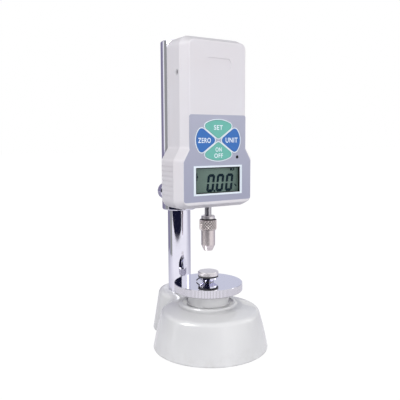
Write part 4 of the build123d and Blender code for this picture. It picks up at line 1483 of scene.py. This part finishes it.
    def surround(self) -> None:
        """Builds the dark gasket that lines the opening in front of the pane; its black walls are also
        painted shade, standing for the shade on the opening's walls.
        """
        wide, low, high = self.opening_x, self.opening_low, self.opening_high
        edge = self.gasket
        outer = rectangle(-wide, low, wide, high)
        inner = rectangle(-wide + edge, low + edge, wide - edge, high - edge)
        mesh = bmesh.new()
        add_frame(mesh, outer, inner, self.gasket_front, self.lens_front)
        # Partly painted shade: the black lining stands for a real gasket and for the shade inside the
        # opening.
        ride_as(new_piece("display_gasket_with_painted_shade", mesh, Coat.LAMP), "head", "lamp_black")

    def window_ring(self) -> None:
        """Builds the black ring printed on the overlay round the small dark window."""
        low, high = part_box("status_lamp")
        middle = (low + high) / 2
        inner, outer = [
            [(middle.x + x, middle.z + z) for x, z in circle(radius, self.window_sides)]
            for radius in (self.window_radius, self.window_radius + self.window_print)]
        mesh = bmesh.new()
        add_frame(mesh, outer, inner, self.overlay_front - self.ink, self.overlay_front + self.ink)
        ride_as(new_piece("window_ring", mesh, Coat.LAMP), "head", "lamp_black")

    def add_pieces(self) -> None:
        """Builds what the display shows, its gasket and the ring round the small window."""
        self.numerals()
        self.signs()
        self.surround()
        self.window_ring()


@dataclass(frozen=True)
class Word:
    """One word on a key."""

    text: str
    body: str
    middle: Flat
    width: float
    height: float


@dataclass
class Keypad(SubAssembly):
    """The four petal keys, their white surround and their words."""

    COATS: ClassVar[dict[str, Coat]] = {
        "key_surround": Coat.WHITE, "key_set": Coat.GREEN, "key_power": Coat.GREEN,
        "key_zero": Coat.BLUE, "key_unit": Coat.BLUE}

    front: float = front_of("key_set")
    proud: float = 0.05 * MM
    sunk: float = 0.06 * MM
    drawn_depth: float = 0.01
    drawn_swell: float = 0.018
    spacing: float = 1.12
    smooth_angle: float = 40.0
    words: tuple[Word, ...] = (
        Word("SET", "key_set", (-0.2 * MM, 169.0 * MM), 7.7 * MM, 3.5 * MM),
        Word("ZERO", "key_zero", (-12.2 * MM, 159.7 * MM), 10.8 * MM, 3.7 * MM),
        Word("UNIT", "key_unit", (11.6 * MM, 159.8 * MM), 10.8 * MM, 3.7 * MM),
        Word("ON", "key_power", (0.0 * MM, 153.0 * MM), 5.4 * MM, 3.2 * MM),
        Word("OFF", "key_power", (0.0 * MM, 148.5 * MM), 7.6 * MM, 3.3 * MM))

    def _letters(self, text: str) -> bmesh.types.BMesh:
        """Draws a word in the plane of X and Y, one unit tall.

        Args:
            text: The word.

        Returns:
            Its mesh.
        """
        line = bpy.data.curves.new("word", "FONT")
        line.body = text
        line.extrude = self.drawn_depth
        line.offset = self.drawn_swell
        line.space_character = self.spacing
        holder = placed("word", line)
        drawn = holder.evaluated_get(bpy.context.evaluated_depsgraph_get())
        data = bpy.data.meshes.new_from_object(drawn)
        bpy.data.objects.remove(holder)
        mesh = bmesh.new()
        mesh.from_mesh(data)
        bpy.data.meshes.remove(data)
        return mesh

    def _print(self, word: Word) -> None:
        """Builds one word as a thin raised print on its key.

        Args:
            word: What it says, where and how large.
        """
        mesh = self._letters(word.text)
        across = [point.co.x for point in mesh.verts]
        along = [point.co.y for point in mesh.verts]
        wide = word.width / (max(across) - min(across))
        tall = word.height / (max(along) - min(along))
        middle_x, middle_y = (max(across) + min(across)) / 2, (max(along) + min(along)) / 2
        for point in mesh.verts:
            depth = self.front - self.proud if point.co.z > 0 else self.front + self.sunk
            point.co = Vector((word.middle[0] + (point.co.x - middle_x) * wide, depth,
                               word.middle[1] + (point.co.y - middle_y) * tall))
        bmesh.ops.remove_doubles(mesh, verts=mesh.verts, dist=1e-7)
        piece = new_piece(f"word_{word.text.lower()}", mesh, Coat.WHITE, self.smooth_angle)
        ride_as(piece, word.body, "white_print")

    def add_pieces(self) -> None:
        """Prints the words."""
        for word in self.words:
            self._print(word)


# The studio

PLAIN_WHITE = (1.0, 1.0, 1.0, 1.0)
BLACK = (0.0, 0.0, 0.0, 1.0)


@dataclass(frozen=True)
class Lamp:
    """One soft studio lamp."""

    name: str
    place: Point
    aim: Point
    width: float
    height: float
    watts: float
    mirrored: bool = True


@dataclass(frozen=True)
class Card:
    """One upright card in the studio, seen only in reflections.

    Its two ends are given by their turn in degrees from the front, to the right, and their distance.
    """

    name: str
    left: Flat
    right: Flat
    low: float
    high: float
    colour: Colour
    glow: float = 1.0

    def corners(self) -> list[Point]:
        """Works out its corners from the column's axis.

        Returns:
            The corners, in order.
        """
        (left_x, left_y), (right_x, right_y) = [
            (distance * math.sin(math.radians(turn)), COLUMN_Y - distance * math.cos(math.radians(turn)))
            for turn, distance in (self.left, self.right)]
        return [(left_x, left_y, self.low), (right_x, right_y, self.low),
                (right_x, right_y, self.high), (left_x, left_y, self.high)]


@dataclass
class Studio:
    """The camera, the lamps, the floor and the cards round the object."""

    eye: Point = (-0.214458, -0.348903, 0.160131)
    look: Point = (0.52028, 0.84638, -0.11384)
    roll: float = -0.228
    lens: float = 47.27
    sensor: float = 36.0
    nearest: float = 0.01
    farthest: float = 50.0
    ambient: float = 0.55
    ambient_tint: Colour = (0.98, 0.98, 1.0, 1.0)
    floor_reach: float = 6.0
    floor_z: float = -0.1 * MM
    floor_share: float = 0.94
    floor_glow: float = 1.04
    floor_near: Colour = rgb(252, 251, 255)
    floor_far: Colour = rgb(182, 181, 196)
    floor_fade: Flat = (-0.25, 0.1)
    floor_bounce: Colour = rgb(190, 190, 194)
    floor_paper: Colour = rgb(250, 250, 250)
    floor_fibre: Colour = rgb(246, 246, 247)
    lamps: tuple[Lamp, ...] = (
        Lamp("key_lamp", (-0.35, -1.25, 0.5), (0.0, 0.0, 0.12), 0.8, 0.8, 7.2, mirrored=False),
        Lamp("top_lamp", (0.1, 0.1, 1.3), (0.0, 0.0, 0.1), 0.9, 0.9, 0.5),
        Lamp("left_lamp", (-0.8, -0.12, 0.85), (0.0, 0.0, 0.05), 0.3, 0.3, 2.9, mirrored=False),
        Lamp("left_fill", (-1.2, -0.4, 0.4), (0.0, 0.0, 0.12), 0.8, 0.8, 0.4, mirrored=False),
        Lamp("side_lamp", (1.1, -0.5, 0.6), (0.0, 0.0, 0.12), 0.6, 0.9, 2.2))
    cards: tuple[Card, ...] = (
        Card("dark_front", (-8.0, 0.536), (-104.0, 0.72), 0.0, 0.3, rgb(26, 28, 48)),
        Card("dark_strip", (53.0, 0.75), (56.0, 0.75), 0.0, 0.3, rgb(40, 42, 60)),
        Card("grey_left", (-106.0, 0.3), (-132.0, 0.3), 0.0, 0.5, rgb(158, 160, 156)),
        Card("grey_low", (-132.0, 0.3), (-146.0, 0.3), 0.0, 0.14, rgb(160, 160, 176)),
        Card("lavender_back", (-146.0, 0.35), (-202.0, 0.35), 0.0, 0.5, rgb(140, 136, 160)),
        Card("lavender_high", (-150.0, 1.7), (-270.0, 1.7), 0.25, 1.4, rgb(214, 216, 230)),
        Card("soft_window", (-76.0, 0.95), (-104.0, 0.95), 0.4, 1.4, rgb(255, 255, 255), glow=12.0))

    def camera(self) -> None:
        """Places the camera where the photograph was taken from."""
        data = bpy.data.cameras.new("camera")
        data.lens = self.lens
        data.sensor_width = self.sensor
        data.clip_start = self.nearest
        data.clip_end = self.farthest
        forward = Vector(self.look).normalized()
        right = forward.cross(Vector((0, 0, 1))).normalized()
        up = right.cross(forward)
        turn = math.radians(self.roll)
        across = right * math.cos(turn) + up * math.sin(turn)
        above = up * math.cos(turn) - right * math.sin(turn)
        pose = Matrix((across, above, -forward)).transposed().to_4x4()
        pose.translation = Vector(self.eye)
        camera = placed("camera", data)
        camera.matrix_world = pose
        bpy.context.scene.camera = camera

    def world(self) -> None:
        """Makes the surroundings: plain white where they are seen, dimmer where they light."""
        world = bpy.data.worlds.new("studio_white")
        world.use_nodes = True
        tree = Tree(world.node_tree)
        shown = tree.node("ShaderNodeBackground", None, {"Color": PLAIN_WHITE, "Strength": 1.0})
        lit = tree.node("ShaderNodeBackground", None,
                        {"Color": self.ambient_tint, "Strength": self.ambient})
        both = tree.node("ShaderNodeMixShader", None, {
            0: tree.seen(), 1: lit.outputs[0], 2: shown.outputs[0]})
        tree.node("ShaderNodeOutputWorld", None, {"Surface": both.outputs[0]})
        bpy.context.scene.world = world

    @staticmethod
    def _sheet(corners: Sequence[Point], shader: Shader, name: str) -> bpy.types.Object:
        """Sets up one flat sheet that isn't part of the object.

        Args:
            corners: Its corners, in order.
            shader: Its material.
            name: Its name.

        Returns:
            The sheet.
        """
        mesh = bmesh.new()
        mesh.faces.new([mesh.verts.new(corner) for corner in corners])
        data = bpy.data.meshes.new(name)
        mesh.to_mesh(data)
        mesh.free()
        data.materials.append(shader.material)
        sheet = placed(name, data)
        return sheet

    def floor(self) -> None:
        """Lays the pale floor, which keeps the object's shadow."""
        shader = Shader("pale_floor")
        paper = shader.mix(shader.noise(14) * 0.2, self.floor_paper, self.floor_fibre)
        paper = shader.mix(shader.ray("Diffuse"), paper, self.floor_bounce)
        matt = shader.node("ShaderNodeBsdfPrincipled", None, {"Base Color": paper, "Roughness": 0.8})
        toward = shader.axis("X") * -self.look[0] - shader.axis("Y") * self.look[1]
        mirrored = shader.mix(toward.within(*self.floor_fade), self.floor_far, self.floor_near)
        glowing = shader.mix(shader.ray("Glossy"), PLAIN_WHITE, mirrored)
        glow = shader.node("ShaderNodeEmission", None, {"Color": glowing, "Strength": self.floor_glow})
        both = shader.node("ShaderNodeMixShader", None, {
            0: shader.seen() * self.floor_share, 1: matt.outputs[0], 2: glow.outputs[0]})
        shader.node("ShaderNodeOutputMaterial", None, {"Surface": both.outputs[0]})
        reach = self.floor_reach
        corners = [(x, y, self.floor_z) for x, y in rectangle(-reach, -reach, reach, reach)]
        self._sheet(corners, shader, "floor")

    def light(self, lamp: Lamp) -> None:
        """Hangs one lamp.

        Args:
            lamp: Its place, aim, size and power.
        """
        data = bpy.data.lights.new(lamp.name, "AREA")
        data.shape = "RECTANGLE"
        data.size, data.size_y = lamp.width, lamp.height
        data.energy = lamp.watts
        hung = placed(lamp.name, data)
        hung.location = lamp.place
        hung.rotation_euler = (Vector(lamp.aim) - Vector(lamp.place)).to_track_quat("-Z", "Y").to_euler()
        hung.visible_glossy = lamp.mirrored

    def card(self, card: Card) -> None:
        """Stands one card, which only mirrors show.

        Args:
            card: Its place, size, colour and glow.
        """
        shader = Shader(card.name)
        tone = shader.mix(shader.noise(3.0, detail=1) * 0.2, card.colour, shade(card.colour, 0.7))
        shader.finish({"Base Color": BLACK, "Roughness": 1.0, "Specular IOR Level": 0.0,
                       "Emission Color": tone, "Emission Strength": card.glow})
        stood = self._sheet(card.corners(), shader, card.name)
        stood.visible_camera = False
        stood.visible_diffuse = False
        stood.visible_shadow = False

    def build(self) -> None:
        """Sets up the whole studio."""
        bpy.context.scene.view_settings.view_transform = "Standard"
        self.camera()
        self.world()
        self.floor()
        for lamp in self.lamps:
            self.light(lamp)
        for card in self.cards:
            self.card(card)
        LOG.info("the studio has %d lamps and %d cards", len(self.lamps), len(self.cards))


def main() -> None:
    """Builds the studio, then the sub-assemblies from the bench upwards."""
    Studio().build()
    assemblies = (Stand(), Casting(), Lift(), Chuck(), Carriage(), Gauge(), Display(), Keypad())
    for assembly in assemblies:
        assembly.build()


if __name__ == "__main__":
    logging.basicConfig(level=logging.INFO, format="%(message)s")
    main()
